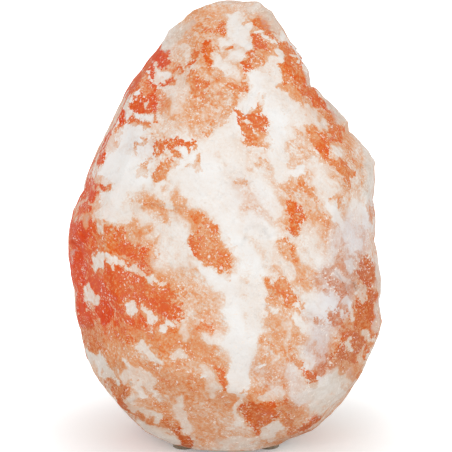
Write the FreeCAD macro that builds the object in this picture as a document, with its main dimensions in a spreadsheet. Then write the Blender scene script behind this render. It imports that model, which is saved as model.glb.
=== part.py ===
"""Salt crystal lamp: a hewn block of rock salt that stands on its own flat underside.

The crystal is drilled from below. A small lamp holder with two spring wings sits in that bore, carries
the bulb, and takes its cord in from behind through a channel cut across the underside.
The crystal lifts off the holder, the bulb unscrews upwards, and the wings squeeze together.

Millimetres, +Z up, the front faces -Y. The origin is on the table, under the middle of the crystal.
"""
import FreeCAD, Part
import Sketcher
import math
import os
import re

V = FreeCAD.Vector
doc = FreeCAD.newDocument("salt_crystal_lamp")

# ------------------------------------------------------------------------------------------ driving sizes
SIZES = (
    # the crystal
    ("crystal_height", 227.0, "underside to top"),
    ("crystal_width", 166.0, "left to right"),
    ("crystal_depth", 144.0, "front to back"),
    ("crystal_fullness", 2.3, "how square the level sections are: 2 is an ellipse"),
    ("chip_depth", 2.4, "how deep a light chisel facet bites into the rounded form"),
    ("bore_diameter", 46.0, "hole drilled from below for the lamp holder"),
    ("bore_depth", 112.0, "underside to the shoulder of the drill point"),
    ("bore_point", 6.0, "height of the cone that the drill leaves"),
    ("channel_width", 12.0, "groove for the cord, from the bore to the back"),
    ("channel_depth", 11.0, "the groove's height above the underside"),
    # the felt pads
    ("pad_thickness", 3.0, "felt pad"),
    ("pad_diameter", 12.0, "felt pad"),
    ("pad_circle", 62.0, "diameter of the circle that the pads' centres lie on"),
    ("pad_edge", 0.6, "bevel round the pad's lower edge"),
    # the holder's cap
    ("cap_lift", 0.3, "gap between the table and the cap"),
    ("cap_diameter", 29.0, "outside of the cap"),
    ("cap_height", 22.0, "outside of the cap"),
    ("cap_wall", 1.8, "side wall round the sleeve's spigot"),
    ("cap_floor", 2.5, "floor"),
    ("cap_edge", 1.2, "bevel round the cap's foot"),
    ("chamber_diameter", 21.2, "wiring chamber below the contact block"),
    # the cord inlet
    ("inlet_rise", 8.75, "cord axis above the cap's foot"),
    ("inlet_boss", 0.5, "how far the flat boss stands out of the cap"),
    ("bush_diameter", 9.6, "threaded nipple that the cord passes through"),
    ("bush_bore", 6.8, "clear hole for the cord"),
    ("bush_tail", 3.0, "length of the nipple inside the chamber"),
    ("bush_nose", 4.6, "length of the nipple past the collar"),
    ("bush_edge", 0.7, "bevel at the nipple's mouth, so that the cord isn't cut"),
    ("collar_diameter", 12.6, "round collar that seats on the boss"),
    ("collar_length", 2.4, "round collar that seats on the boss"),
    ("grip_screw", 2.6, "shank of the screw that grips the cord"),
    ("grip_head", 3.8, "its head"),
    ("grip_head_height", 1.3, "its head"),
    ("screw_clearance", 0.05, "radial gap round small screws, pins and plugs"),
    # the holder's sleeve
    ("fit_clearance", 0.15, "radial gap between moulded parts that fit together"),
    ("spigot_depth", 5.0, "how far the sleeve goes into the cap"),
    ("flange_height", 3.5, "collar of the sleeve that seats on the cap"),
    ("sleeve_diameter", 24.0, "outside of the sleeve above the flange"),
    ("sleeve_height", 30.0, "flange to rim"),
    ("sleeve_wall", 2.3, "wall of the sleeve"),
    ("sleeve_edge", 0.6, "bevel at the sleeve's mouth"),
    ("rim_height", 2.0, "inward lip at the mouth"),
    ("rim_reach", 1.0, "how far the lip reaches in"),
    ("rib_height", 1.2, "ring ribs that stop the clip band sliding"),
    ("rib_reach", 0.8, "how far each rib stands out"),
    # contacts
    ("block_flange", 2.0, "flange of the ceramic block, clamped between cap and sleeve"),
    ("shell_depth", 17.5, "screw shell, foot to mouth"),
    ("shell_wall", 0.4, "brass sheet"),
    ("shell_hole", 10.8, "hole in the shell's foot for the centre contact"),
    ("thread_clearance", 0.1, "radial gap between the shell and the bulb's cap"),
    ("slot_inner", 3.6, "block slots: distance of the near side from the axis"),
    ("slot_outer", 7.2, "block slots: distance of the far side from the axis"),
    ("slot_width", 4.6, "block slots, front to back"),
    ("strip_place", 4.4, "distance of the contact strips' legs from the axis"),
    ("strip_width", 4.0, "contact strips, front to back"),
    ("strip_thickness", 0.5, "contact strips"),
    ("contact_gap", 0.2, "gap under the bulb's contact"),
    ("post_width", 4.4, "terminal posts, left to right"),
    ("post_depth", 5.0, "terminal posts, front to back"),
    ("post_height", 8.0, "terminal posts"),
    ("post_spacing", 10.4, "distance between the posts' centres"),
    ("wire_hole", 2.2, "hole through each post for the wire"),
    ("wire_rise", 4.8, "wire's axis above the post's foot"),
    ("post_screw", 2.6, "terminal screw"),
    ("post_screw_reach", 2.6, "how far a terminal screw stands out of its post"),
    ("screw_slot", 0.6, "width and depth of the screwdriver slots"),
    # spring clip
    ("band_height", 6.0, "steel band round the sleeve"),
    ("band_thickness", 0.8, "steel band round the sleeve"),
    ("band_drop", 4.0, "distance of the band's top below the sleeve's rim"),
    ("band_split", 4.0, "gap in the band, at the front"),
    ("knuckle_radius", 1.1, "rolled root of each wing"),
    ("knuckle_gap", 0.1, "running gap round that roll"),
    ("knuckle_wall", 0.6, "wall of the curl that holds it"),
    ("knuckle_width", 8.0, "curl, front to back"),
    ("lug_reach", 0.3, "how far the curl stands off the band"),
    ("wing_width", 10.0, "wings, front to back"),
    ("wing_thickness", 0.6, "spring steel"),
    ("wing_drop", 25.0, "root to the place where the wing meets the bore"),
    ("tab_drop", 9.0, "finger tab below that place"),
    ("tab_lean", 2.4, "how far the tab leans back in"),
    ("wing_gap", 0.2, "gap between the wing's corners and the bore"),
    # bulb
    ("bulb_seat", 2.0, "shell's foot to the bulb's contact"),
    ("contact_diameter", 4.8, "solder contact"),
    ("contact_height", 1.8, "solder contact"),
    ("insulator_height", 3.0, "dark glass between the contact and the cap"),
    ("bulb_cap_diameter", 13.8, "screw cap, over the threads"),
    ("bulb_cap_height", 19.0, "screw cap"),
    ("bulb_cap_wall", 0.35, "screw cap"),
    ("bulb_cap_lip", 1.6, "how far the cap's foot turns in over the insulator"),
    ("bulb_cap_flare", 0.9, "how far the cap's mouth flares out, and twice that in height"),
    ("glass_diameter", 25.0, "widest part of the glass"),
    ("glass_height", 33.5, "cap's mouth to the top of the glass"),
    ("glass_taper", 20.0, "degrees between the glass's tapering neck and its axis"),
    ("glass_wall", 0.6, "glass"),
    ("glass_tuck", 3.0, "neck inside the cap"),
    ("stem_height", 10.0, "glass mount, above the neck's end"),
    ("pinch_thickness", 2.6, "flattened top of the mount"),
    ("pinch_height", 4.0, "flattened top of the mount"),
    ("lead_radius", 0.35, "lead wires"),
    ("lead_spread", 7.0, "distance between the leads"),
    ("lead_height", 11.0, "leads above the mount"),
    ("filament_radius", 0.3, "coiled filament, as a plain wire"),
)
sheet = doc.addObject("Spreadsheet::Sheet", "Sizes")
for line, (alias, number, meaning) in enumerate(SIZES, 1):
    sheet.set(f"A{line}", alias)
    sheet.set(f"B{line}", str(number))
    sheet.setAlias(f"B{line}", alias)
    sheet.set(f"C{line}", meaning)
doc.recompute()
ALIASES = {alias for alias, _, _ in SIZES}

# The crystal's outline: at each level its reach to the left, right, front and back.
# Levels are shares of the height, reaches are shares of half the width and half the depth.
LEVELS = (
    (0.00, 0.42, 0.43, 0.57, 0.57),
    (0.03, 0.58, 0.61, 0.66, 0.67),
    (0.08, 0.73, 0.79, 0.77, 0.79),
    (0.16, 0.90, 0.95, 0.91, 0.92),
    (0.29, 0.97, 1.00, 1.00, 0.98),
    (0.42, 1.00, 0.99, 0.99, 1.00),
    (0.55, 0.96, 0.94, 0.94, 0.97),
    (0.66, 0.80, 0.92, 0.85, 0.88),
    (0.76, 0.67, 0.69, 0.72, 0.75),
    (0.86, 0.50, 0.48, 0.54, 0.57),
    (0.94, 0.34, 0.39, 0.36, 0.41),
    (1.00, 0.07, 0.24, 0.12, 0.14),
)
SIDES = 16                   # corners round each level

# The corners of the hewn skin lie a little out of line. Each rule swings from one corner to the next.
DENT = 0.015                 # most that a corner lies inside its level section, as a share of its reach
DENT_SWING = 7.1
SLIP = 0.014                 # most that a corner lies above or below its level, as a share of the height
SLIP_SWING = 5.3
SLIP_FREE = 0.25             # the slip is whole from this share of the height away from either end

# The large flats: the way each one faces (degrees round from +X, degrees up), and how many chips deep.
LARGE_FLATS = (
    (248, 8, 1.6),
    (292, 22, 1.7),
    (270, 52, 2.2),
    (262, -32, 1.6),
    (318, -8, 1.5),
    (214, -6, 1.8),
    (226, 38, 2.0),
    (336, 34, 1.8),
    (352, -30, 1.2),
    (188, 22, 1.0),
    (190, -38, 1.2),
    (76, 12, 1.8),
    (112, 34, 2.0),
    (40, 30, 2.0),
    (58, -24, 1.7),
    (128, -18, 1.8),
    (138, 46, 1.8),
    (20, 52, 1.4),
)


# --------------------------------------------------------- places that several pieces share, as formulas
UNDERSIDE = "pad_thickness"
CAP_RADIUS = "cap_diameter / 2"
CAP_TOP = "(cap_lift + cap_height)"
CAP_BORE = "(cap_diameter / 2 - cap_wall)"
INLET = "(cap_lift + inlet_rise)"
BOSS_FACE = "(cap_diameter / 2 + inlet_boss)"
COLLAR_FACE = f"({BOSS_FACE} + collar_length)"
NOSE_END = f"({COLLAR_FACE} + bush_nose)"
SPIGOT_END = f"({CAP_TOP} - spigot_depth)"
SHELF = f"({SPIGOT_END} - block_flange)"
POST_FOOT = f"({SHELF} - post_height)"
WIRE = f"({POST_FOOT} + wire_rise)"
SLEEVE_FOOT = f"({CAP_TOP} + flange_height)"
SLEEVE_TOP = f"({SLEEVE_FOOT} + sleeve_height)"
SLEEVE_RADIUS = "sleeve_diameter / 2"
SLEEVE_BORE = "(sleeve_diameter / 2 - sleeve_wall)"
RIB_RADIUS = "(sleeve_diameter / 2 + rib_reach)"
SHELL_TOP = f"({SLEEVE_TOP} - rim_height)"
SHELL_FOOT = f"({SHELL_TOP} - shell_depth)"
SHELL_BORE = "(bulb_cap_diameter / 2 + thread_clearance)"
BAND_TOP = f"({SLEEVE_TOP} - band_drop)"
BAND_FOOT = f"({BAND_TOP} - band_height)"
BAND_BORE = "(sleeve_diameter / 2 + fit_clearance)"
CURL_BORE = "(knuckle_radius + knuckle_gap)"
CURL_RADIUS = f"({CURL_BORE} + knuckle_wall)"
ROOT_OUT = f"({BAND_BORE} + band_thickness + lug_reach + {CURL_RADIUS})"
ROOT_UP = f"({BAND_TOP} - band_height / 2)"
WING_OUT = "(sqrt(bore_diameter^2 - wing_width^2) / 2 - wing_gap)"
WING_LOW = f"({ROOT_UP} - wing_drop)"
TAB_END = f"({WING_LOW} - tab_drop)"
BULB_TIP = f"({SHELL_FOOT} + bulb_seat)"
INSULATOR_FOOT = f"({BULB_TIP} + contact_height)"
BULB_CAP_FOOT = f"({INSULATOR_FOOT} + insulator_height)"
BULB_CAP_TOP = f"({BULB_CAP_FOOT} + bulb_cap_height)"
BULB_CAP_RADIUS = "bulb_cap_diameter / 2"
BULB_CAP_BORE = "(bulb_cap_diameter / 2 - bulb_cap_wall)"
BULB_CAP_HOLE = "(bulb_cap_diameter / 2 - bulb_cap_lip)"
NECK_RADIUS = f"({BULB_CAP_BORE} - fit_clearance)"
GLASS_FOOT = f"({BULB_CAP_TOP} - glass_tuck)"
GLASS_CENTRE = f"({BULB_CAP_TOP} + glass_height - glass_diameter / 2)"
STEM_TOP = f"({GLASS_FOOT} + stem_height)"
LEAD_TOP = f"({STEM_TOP} + lead_height)"


def size(alias):
    """One driving size, from the sheet."""
    return float(sheet.get(alias))


def formula(text):
    """A formula in which each size's name points at its cell in the sheet."""
    return re.sub(r"[a-z_]+", lambda m: f"Sizes.{m[0]}" if m[0] in ALIASES else m[0], str(text))


def bind(thing, **formulas):
    """Ties properties of a document object to the sheet. x, y and z are its place."""
    for name, text in formulas.items():
        path = f".Placement.Base.{name}" if name in "xyz" else name
        thing.setExpression(path, formula(text))
    return thing


# --------------------------------------------------------------------------------------- building helpers
TURNS = {
    "X": FreeCAD.Rotation(V(0, 1, 0), 90),
    "Y": FreeCAD.Rotation(V(1, 0, 0), -90),
    "Z": FreeCAD.Rotation(),
}
gauge = doc.addObject("App::FeaturePython", "gauge")
gauge.addProperty("App::PropertyFloat", "Reading")


def reading(text):
    """What a formula gives now."""
    gauge.setExpression("Reading", formula(text))
    gauge.recompute()
    return gauge.Reading


def block(name, length, width, height, x="0", y="0", z="0"):
    """A box centred on x and y, standing on z."""
    box = doc.addObject("Part::Box", name)
    return bind(box, Length=length, Width=width, Height=height,
                x=f"{x} - ({length}) / 2", y=f"{y} - ({width}) / 2", z=z)


def rod(name, radius, height, x="0", y="0", z="0", along="Z"):
    """A cylinder that starts at x, y, z and runs along +X, +Y or +Z."""
    cylinder = doc.addObject("Part::Cylinder", name)
    cylinder.Placement.Rotation = TURNS[along]
    return bind(cylinder, Radius=radius, Height=height, x=x, y=y, z=z)


def joined(name, *things):
    """One solid from several that overlap or touch."""
    result = doc.addObject("Part::MultiFuse", name)
    result.Shapes = list(things)
    return result


def cut(name, base, *tools):
    """The base less the tools."""
    result = doc.addObject("Part::Cut", name)
    result.Base = base
    result.Tool = tools[0] if len(tools) == 1 else joined(f"{name}_tools", *tools)
    return result


def mirrored(name, source):
    """The source's mirror image, left for right."""
    result = doc.addObject("Part::Mirroring", name)
    result.Source = source
    result.Normal = V(1, 0, 0)
    return result


def group(name, *things):
    """Separate solids that share one node."""
    result = doc.addObject("Part::Compound", name)
    result.Links = list(things)
    return result


def place_corner(sketch, edge, across, up):
    """Ties the start of one sketch line to the sheet, by its two distances from the origin."""
    for kind, axis, text in (("DistanceX", -2, across), ("DistanceY", -1, up)):
        if text == "0":
            sketch.addConstraint(Sketcher.Constraint("PointOnObject", edge, 1, axis))
        else:
            row = sketch.addConstraint(Sketcher.Constraint(kind, -1, 1, edge, 1, reading(text)))
            sketch.setExpression(f"Constraints[{row}]", formula(text))


def outline(body, corners):
    """A closed sketch of straight lines in the XZ plane. Each corner is a pair of formulas."""
    sketch = body.newObject("Sketcher::SketchObject", f"{body.Name}_outline")
    plane = next(f for f in body.Origin.OriginFeatures if f.Role == "XZ_Plane")
    sketch.AttachmentSupport = (plane, "")
    sketch.MapMode = "FlatFace"
    points = [V(reading(across), reading(up), 0) for across, up in corners]
    for here, there in zip(points, points[1:] + points[:1]):
        sketch.addGeometry(Part.LineSegment(here, there), False)
    for edge, (across, up) in enumerate(corners):
        before = (edge - 1) % len(corners)
        sketch.addConstraint(Sketcher.Constraint("Coincident", before, 2, edge, 1))
        place_corner(sketch, edge, across, up)
    return sketch


def turned(name, corners, along="Z", **place):
    """A body of revolution: an outline of (radius, distance along the axis), turned about the axis."""
    body = doc.addObject("PartDesign::Body", name)
    turn = body.newObject("PartDesign::Revolution", f"{name}_turned")
    turn.Profile = outline(body, corners)
    turn.ReferenceAxis = (turn.Profile[0], ["V_Axis"])
    turn.Angle = 360
    body.Tip = turn
    body.Placement.Rotation = TURNS[along]
    return bind(body, **place)


def bent(name, corners, width):
    """A strip seen from the front as an outline of (x, z), given its width front to back."""
    body = doc.addObject("PartDesign::Body", name)
    pad = body.newObject("PartDesign::Pad", f"{name}_pad")
    pad.Profile = outline(body, corners)
    pad.Midplane = True
    bind(pad, Length=width)
    body.Tip = pad
    return body


pieces = {}


def piece(node, thing):
    """Names a finished document object as one of the lamp's pieces."""
    thing.Label = node
    pieces[node] = thing


# -------------------------------------------------------------------------------------------- the crystal
def corner(level, step):
    """A corner of the hewn skin: near its level section, but out of line with its neighbours."""
    rise, left, right, front, back = LEVELS[level]
    step %= SIDES
    angle = 2 * math.pi * step / SIDES
    east, north = math.cos(angle), math.sin(angle)
    power = size("crystal_fullness")
    count = level * SIDES + step
    swell = (abs(east) ** power + abs(north) ** power) ** (-1 / power)
    swell *= 1 - DENT * (1 + math.sin(DENT_SWING * count)) / 2
    across = (right if east > 0 else left) * size("crystal_width") / 2
    along = (back if north > 0 else front) * size("crystal_depth") / 2
    slip = SLIP * math.sin(SLIP_SWING * count) * min(1, rise / SLIP_FREE, (1 - rise) / SLIP_FREE)
    up = size("pad_thickness") + (rise + slip) * size("crystal_height")
    return V(east * swell * across, north * swell * along, up)


def plane_face(*corners):
    return Part.Face(Part.makePolygon([*corners, corners[0]]))


def hewn_skin():
    """The solid whose skin is flat triangles from each level to the next, closed above and below."""
    faces = []
    for level in range(len(LEVELS) - 1):
        for step in range(SIDES):
            low, low_next = corner(level, step), corner(level, step + 1)
            high, high_next = corner(level + 1, step), corner(level + 1, step + 1)
            if (level + step) % 2:
                faces += [plane_face(low, low_next, high), plane_face(low_next, high_next, high)]
            else:
                faces += [plane_face(low, low_next, high_next), plane_face(low, high_next, high)]
    for level in (0, len(LEVELS) - 1):
        faces.append(plane_face(*(corner(level, step) for step in range(SIDES))))
    shell = Part.makeShell(faces)
    shell.sewShape()
    return Part.makeSolid(shell)


def hewn(form, points, azimuth, tilt, chips):
    """The form with one large flat struck off its furthest reach in a direction."""
    around, up = math.radians(azimuth), math.radians(tilt)
    outward = V(math.cos(up) * math.cos(around), math.cos(up) * math.sin(around), math.sin(up))
    reach = max(point.dot(outward) for point in points)
    side = 2 * (size("crystal_height") + size("crystal_width") + size("crystal_depth"))
    waste = Part.makeBox(side, side, side, V(-side / 2, -side / 2, 0))
    waste.Placement = FreeCAD.Placement(outward * (reach - chips * size("chip_depth")),
                                        FreeCAD.Rotation(V(0, 0, 1), outward))
    return form.cut(waste)


def hewn_crystal():
    """The raw block: its skin of small flats, with the large flats struck off."""
    form = hewn_skin()
    points = [vertex.Point for vertex in form.Vertexes]
    for flat in LARGE_FLATS:
        form = hewn(form, points, *flat)
    raw = doc.addObject("Part::Feature", "hewn_block")
    raw.Shape = form
    return raw


def crystal():
    bore = rod("bore", "bore_diameter / 2", "bore_depth + pad_thickness")
    point = doc.addObject("Part::Cone", "bore_point")
    bind(point, Radius1="bore_diameter / 2", Radius2="0", Height="bore_point",
         z=f"{UNDERSIDE} + bore_depth")
    channel = block("channel", "channel_width", "crystal_depth", f"{UNDERSIDE} + channel_depth",
                    y="crystal_depth / 2")
    piece("salt_crystal", cut("crystal", hewn_crystal(), bore, point, channel))


def foot_pads():
    """Four felt pads on a circle, halfway between the axes, so that one side stays free for the cord."""
    for depth_name, north in (("front", "-"), ("back", "")):
        for side_name, east in (("left", "-"), ("right", "")):
            name = f"foot_pad_{depth_name}_{side_name}"
            corners = (("0", "0"),
                       ("pad_diameter / 2 - pad_edge", "0"),
                       ("pad_diameter / 2", "pad_edge"),
                       ("pad_diameter / 2", "pad_thickness"),
                       ("0", "pad_thickness"))
            piece(name, turned(f"{name}_body", corners, x=f"{east}pad_circle / sqrt(8)",
                               y=f"{north}pad_circle / sqrt(8)"))


# ---------------------------------------------------------------------------------------- the lamp holder
def holder_cap():
    """A cup with a wiring chamber, a shelf for the block, and a flat boss where the cord comes in."""
    outside = turned("cap_outside", (("0", "cap_lift"),
                                     (f"{CAP_RADIUS} - cap_edge", "cap_lift"),
                                     (CAP_RADIUS, "cap_lift + cap_edge"),
                                     (CAP_RADIUS, CAP_TOP),
                                     ("0", CAP_TOP)))
    boss = rod("cap_boss", "collar_diameter / 2", BOSS_FACE, z=INLET, along="Y")
    hollow = turned("cap_hollow", (("0", "cap_lift + cap_floor"),
                                   ("chamber_diameter / 2", "cap_lift + cap_floor"),
                                   ("chamber_diameter / 2", SHELF),
                                   (CAP_BORE, SHELF),
                                   (CAP_BORE, CAP_TOP),
                                   ("0", CAP_TOP)))
    inlet = rod("cap_inlet", "bush_diameter / 2 + screw_clearance", BOSS_FACE, z=INLET, along="Y")
    piece("holder_cap", cut("cap", joined("cap_form", outside, boss), hollow, inlet))


def cord_inlet():
    """The nipple with its collar against the boss, and the screw that grips the cord from below."""
    tail = "chamber_diameter / 2 - bush_tail"
    nipple = turned("bush_turned", (("bush_bore / 2", tail),
                                    ("bush_diameter / 2", tail),
                                    ("bush_diameter / 2", BOSS_FACE),
                                    ("collar_diameter / 2", BOSS_FACE),
                                    ("collar_diameter / 2", COLLAR_FACE),
                                    ("bush_diameter / 2", COLLAR_FACE),
                                    ("bush_diameter / 2", NOSE_END),
                                    ("bush_bore / 2 + bush_edge", NOSE_END),
                                    ("bush_bore / 2", f"{NOSE_END} - bush_edge")), along="Y", z=INLET)
    middle = f"{COLLAR_FACE} + bush_nose / 2"
    hole = rod("grip_hole", "grip_screw / 2 + screw_clearance", INLET, y=middle)
    piece("cord_bush", cut("bush", nipple, hole))
    seat = f"({INLET} - bush_diameter / 2)"
    piece("cord_grip_screw", turned("grip_screw_body", (("0", f"{seat} - grip_head_height"),
                                                        ("grip_head / 2", f"{seat} - grip_head_height"),
                                                        ("grip_head / 2", seat),
                                                        ("grip_screw / 2", seat),
                                                        ("grip_screw / 2", f"{INLET} - bush_bore / 2"),
                                                        ("0", f"{INLET} - bush_bore / 2")), y=middle))


def holder_sleeve():
    """Spigot, flange, two ring ribs round the clip band's place, and an inward lip at the mouth."""
    corners = [(SLEEVE_BORE, SPIGOT_END),
               (f"{CAP_BORE} - fit_clearance", SPIGOT_END),
               (f"{CAP_BORE} - fit_clearance", CAP_TOP),
               (CAP_RADIUS, CAP_TOP),
               (CAP_RADIUS, SLEEVE_FOOT),
               (SLEEVE_RADIUS, SLEEVE_FOOT)]
    for rib_foot in (f"{BAND_FOOT} - rib_height", BAND_TOP):
        corners += [(SLEEVE_RADIUS, rib_foot),
                    (RIB_RADIUS, rib_foot),
                    (RIB_RADIUS, f"{rib_foot} + rib_height"),
                    (SLEEVE_RADIUS, f"{rib_foot} + rib_height")]
    corners += [(SLEEVE_RADIUS, f"{SLEEVE_TOP} - sleeve_edge"),
                (f"{SLEEVE_RADIUS} - sleeve_edge", SLEEVE_TOP),
                (f"{SLEEVE_BORE} - rim_reach", SLEEVE_TOP),
                (f"{SLEEVE_BORE} - rim_reach", SHELL_TOP),
                (SLEEVE_BORE, SHELL_TOP)]
    piece("holder_sleeve", turned("sleeve", corners))


def contact_block():
    """The ceramic insert. Its flange is clamped between cap and sleeve, and two slots take the strips."""
    form = turned("block_form", (("0", SHELF),
                                 (f"{CAP_BORE} - fit_clearance", SHELF),
                                 (f"{CAP_BORE} - fit_clearance", SPIGOT_END),
                                 (f"{SLEEVE_BORE} - fit_clearance", SPIGOT_END),
                                 (f"{SLEEVE_BORE} - fit_clearance", SHELL_FOOT),
                                 ("0", SHELL_FOOT)))
    slots = [block(f"block_slot_{side}", "slot_outer - slot_inner", "slot_width", SHELL_FOOT,
                   x=f"{sign}(slot_inner + slot_outer) / 2")
             for side, sign in (("left", "-"), ("right", ""))]
    piece("contact_block", cut("block", form, *slots))


def screw_shell():
    """A brass cup with a hole in its foot for the centre contact."""
    piece("screw_shell", turned("shell", (("shell_hole / 2", SHELL_FOOT),
                                          (f"{SHELL_BORE} + shell_wall", SHELL_FOOT),
                                          (f"{SHELL_BORE} + shell_wall", SHELL_TOP),
                                          (SHELL_BORE, SHELL_TOP),
                                          (SHELL_BORE, f"{SHELL_FOOT} + shell_wall"),
                                          ("shell_hole / 2", f"{SHELL_FOOT} + shell_wall"))))


def contact_strips():
    """One strip bears on the shell's foot from below, the other springs up under the bulb's contact."""
    near = "strip_place - strip_thickness / 2"
    far = "strip_place + strip_thickness / 2"
    end = "slot_outer - fit_clearance"
    piece("shell_contact", bent("shell_strip", ((f"-({near})", SHELF),
                                                (f"-({near})", SHELL_FOOT),
                                                (f"-({end})", SHELL_FOOT),
                                                (f"-({end})", f"{SHELL_FOOT} - strip_thickness"),
                                                (f"-({far})", f"{SHELL_FOOT} - strip_thickness"),
                                                (f"-({far})", SHELF)), "strip_width"))
    touch = f"{BULB_TIP} - contact_gap"
    piece("centre_contact", bent("centre_strip", ((near, SHELF),
                                                  (near, SHELL_FOOT),
                                                  ("contact_diameter / 4", f"{touch} - strip_thickness"),
                                                  ("-contact_diameter / 4", f"{touch} - strip_thickness"),
                                                  ("-contact_diameter / 4", touch),
                                                  ("contact_diameter / 4", touch),
                                                  (far, f"{SHELL_FOOT} + strip_thickness"),
                                                  (far, SHELF)), "strip_width"))


def terminals():
    """A brass post under each strip, with a cross hole for the wire and a slotted screw from below."""
    screws = []
    for side, sign in (("left", "-"), ("right", "")):
        place = f"{sign}post_spacing / 2"
        post = block(f"post_{side}", "post_width", "post_depth", "post_height", x=place, z=POST_FOOT)
        wire = rod(f"post_wire_hole_{side}", "wire_hole / 2", "post_depth", x=place,
                   y="-post_depth / 2", z=WIRE, along="Y")
        thread = rod(f"post_screw_hole_{side}", "post_screw / 2 + screw_clearance", "wire_rise",
                     x=place, z=POST_FOOT)
        piece(f"terminal_post_{side}", cut(f"terminal_{side}", post, wire, thread))
        shank = rod(f"post_screw_{side}", "post_screw / 2", "post_screw_reach + wire_rise - wire_hole / 2",
                    x=place, z=f"{POST_FOOT} - post_screw_reach")
        slot = block(f"post_screw_slot_{side}", "post_screw", "screw_slot", "screw_slot",
                     x=place, z=f"{POST_FOOT} - post_screw_reach")
        screws.append(cut(f"slotted_screw_{side}", shank, slot))
    piece("terminal_screws", group("post_screws", *screws))


# ---------------------------------------------------------------------------------------- the spring clip
def clip_band():
    """A split steel band. On each side it has a lug that ends in a curl, open below for the wing's leaf."""
    form = [rod("band_ring", f"{BAND_BORE} + band_thickness", "band_height", z=BAND_FOOT)]
    waste = [rod("band_hole", BAND_BORE, "band_height", z=BAND_FOOT),
             block("band_gap", "band_split", SLEEVE_RADIUS, "band_height",
                   y=f"-{BAND_BORE}", z=BAND_FOOT)]
    lean = f"({WING_OUT} - {ROOT_OUT}) / wing_drop"
    inward = "(wing_thickness / 2 + knuckle_gap)"
    outward = f"({inward} + {CURL_RADIUS} * {lean})"
    for side, sign in (("left", "-"), ("right", "")):
        place = f"{sign}{ROOT_OUT}"
        start = "-knuckle_width / 2"
        form += [block(f"lug_{side}", f"{ROOT_OUT} - {SLEEVE_RADIUS} + sleeve_wall", "knuckle_width",
                       f"2 * {CURL_RADIUS}",
                       x=f"{sign}({ROOT_OUT} + {SLEEVE_RADIUS} - sleeve_wall) / 2",
                       z=f"{ROOT_UP} - {CURL_RADIUS}"),
                 rod(f"curl_{side}", CURL_RADIUS, "knuckle_width", x=place, y=start, z=ROOT_UP, along="Y")]
        waste += [rod(f"curl_bore_{side}", CURL_BORE, "knuckle_width", x=place, y=start, z=ROOT_UP,
                      along="Y"),
                  block(f"curl_mouth_{side}", f"{inward} + {outward}", "knuckle_width", CURL_RADIUS,
                        x=f"{sign}({ROOT_OUT} + ({outward} - {inward}) / 2)",
                        z=f"{ROOT_UP} - {CURL_RADIUS}")]
    piece("clip_band", cut("band", joined("band_form", *form), *waste))


def wings():
    """Spring leaves: a rolled root in the curl, a leaf out to the bore, and a tab for the finger."""
    half = "wing_thickness / 2"
    leaf = bent("wing_leaf", ((f"{ROOT_OUT} - {half}", ROOT_UP),
                              (f"{WING_OUT} - wing_thickness", WING_LOW),
                              (f"{WING_OUT} - wing_thickness - tab_lean", TAB_END),
                              (f"{WING_OUT} - tab_lean", TAB_END),
                              (WING_OUT, WING_LOW),
                              (f"{ROOT_OUT} + {half}", ROOT_UP)), "wing_width")
    roll = rod("wing_roll", "knuckle_radius", "wing_width", x=ROOT_OUT, y="-wing_width / 2", z=ROOT_UP,
               along="Y")
    right = joined("wing", leaf, roll)
    piece("wing_right", right)
    piece("wing_left", mirrored("wing_mirrored", right))


# ----------------------------------------------------------------------------------------------- the bulb
def bulb_foot():
    """The solder contact, the dark glass round it, and the screw cap with its turned-in foot."""
    tip = "contact_diameter / 2"
    bevel = "contact_height / 3"
    piece("bulb_contact", turned("tip", (("0", BULB_TIP),
                                         (f"{tip} - {bevel}", BULB_TIP),
                                         (tip, f"{BULB_TIP} + {bevel}"),
                                         (tip, INSULATOR_FOOT),
                                         ("0", INSULATOR_FOOT))))
    plug = f"{BULB_CAP_HOLE} - screw_clearance"
    piece("bulb_insulator", turned("insulator", (("0", INSULATOR_FOOT),
                                                 (tip, INSULATOR_FOOT),
                                                 (BULB_CAP_BORE, BULB_CAP_FOOT),
                                                 (plug, BULB_CAP_FOOT),
                                                 (plug, f"{BULB_CAP_FOOT} + bulb_cap_wall"),
                                                 ("0", f"{BULB_CAP_FOOT} + bulb_cap_wall"))))
    flare_foot = f"{BULB_CAP_TOP} - 2 * bulb_cap_flare"
    piece("bulb_cap", turned("screw_cap", ((BULB_CAP_HOLE, BULB_CAP_FOOT),
                                           (BULB_CAP_RADIUS, BULB_CAP_FOOT),
                                           (BULB_CAP_RADIUS, flare_foot),
                                           (f"{BULB_CAP_RADIUS} + bulb_cap_flare", BULB_CAP_TOP),
                                           (f"{BULB_CAP_BORE} + bulb_cap_flare", BULB_CAP_TOP),
                                           (BULB_CAP_BORE, flare_foot),
                                           (BULB_CAP_BORE, f"{BULB_CAP_FOOT} + bulb_cap_wall"),
                                           (BULB_CAP_HOLE, f"{BULB_CAP_FOOT} + bulb_cap_wall"))))


def pear(name, inset):
    """A neck, a taper that meets the ball at a tangent, and the ball, all set in by the same amount."""
    ball_radius = f"(glass_diameter / 2 - {inset})"
    neck_radius = f"({NECK_RADIUS} - {inset})"
    meet_radius = f"({ball_radius} * cos(glass_taper))"
    meet_height = f"({GLASS_CENTRE} - {ball_radius} * sin(glass_taper))"
    neck_top = f"({meet_height} - ({meet_radius} - {neck_radius}) / tan(glass_taper))"
    neck = rod(f"{name}_neck", neck_radius, f"{neck_top} - {GLASS_FOOT}", z=GLASS_FOOT)
    taper = doc.addObject("Part::Cone", f"{name}_taper")
    bind(taper, Radius1=neck_radius, Radius2=meet_radius, Height=f"{meet_height} - {neck_top}", z=neck_top)
    ball = doc.addObject("Part::Sphere", f"{name}_ball")
    bind(ball, Radius=ball_radius, z=GLASS_CENTRE)
    return joined(name, neck, taper, ball)


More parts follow.
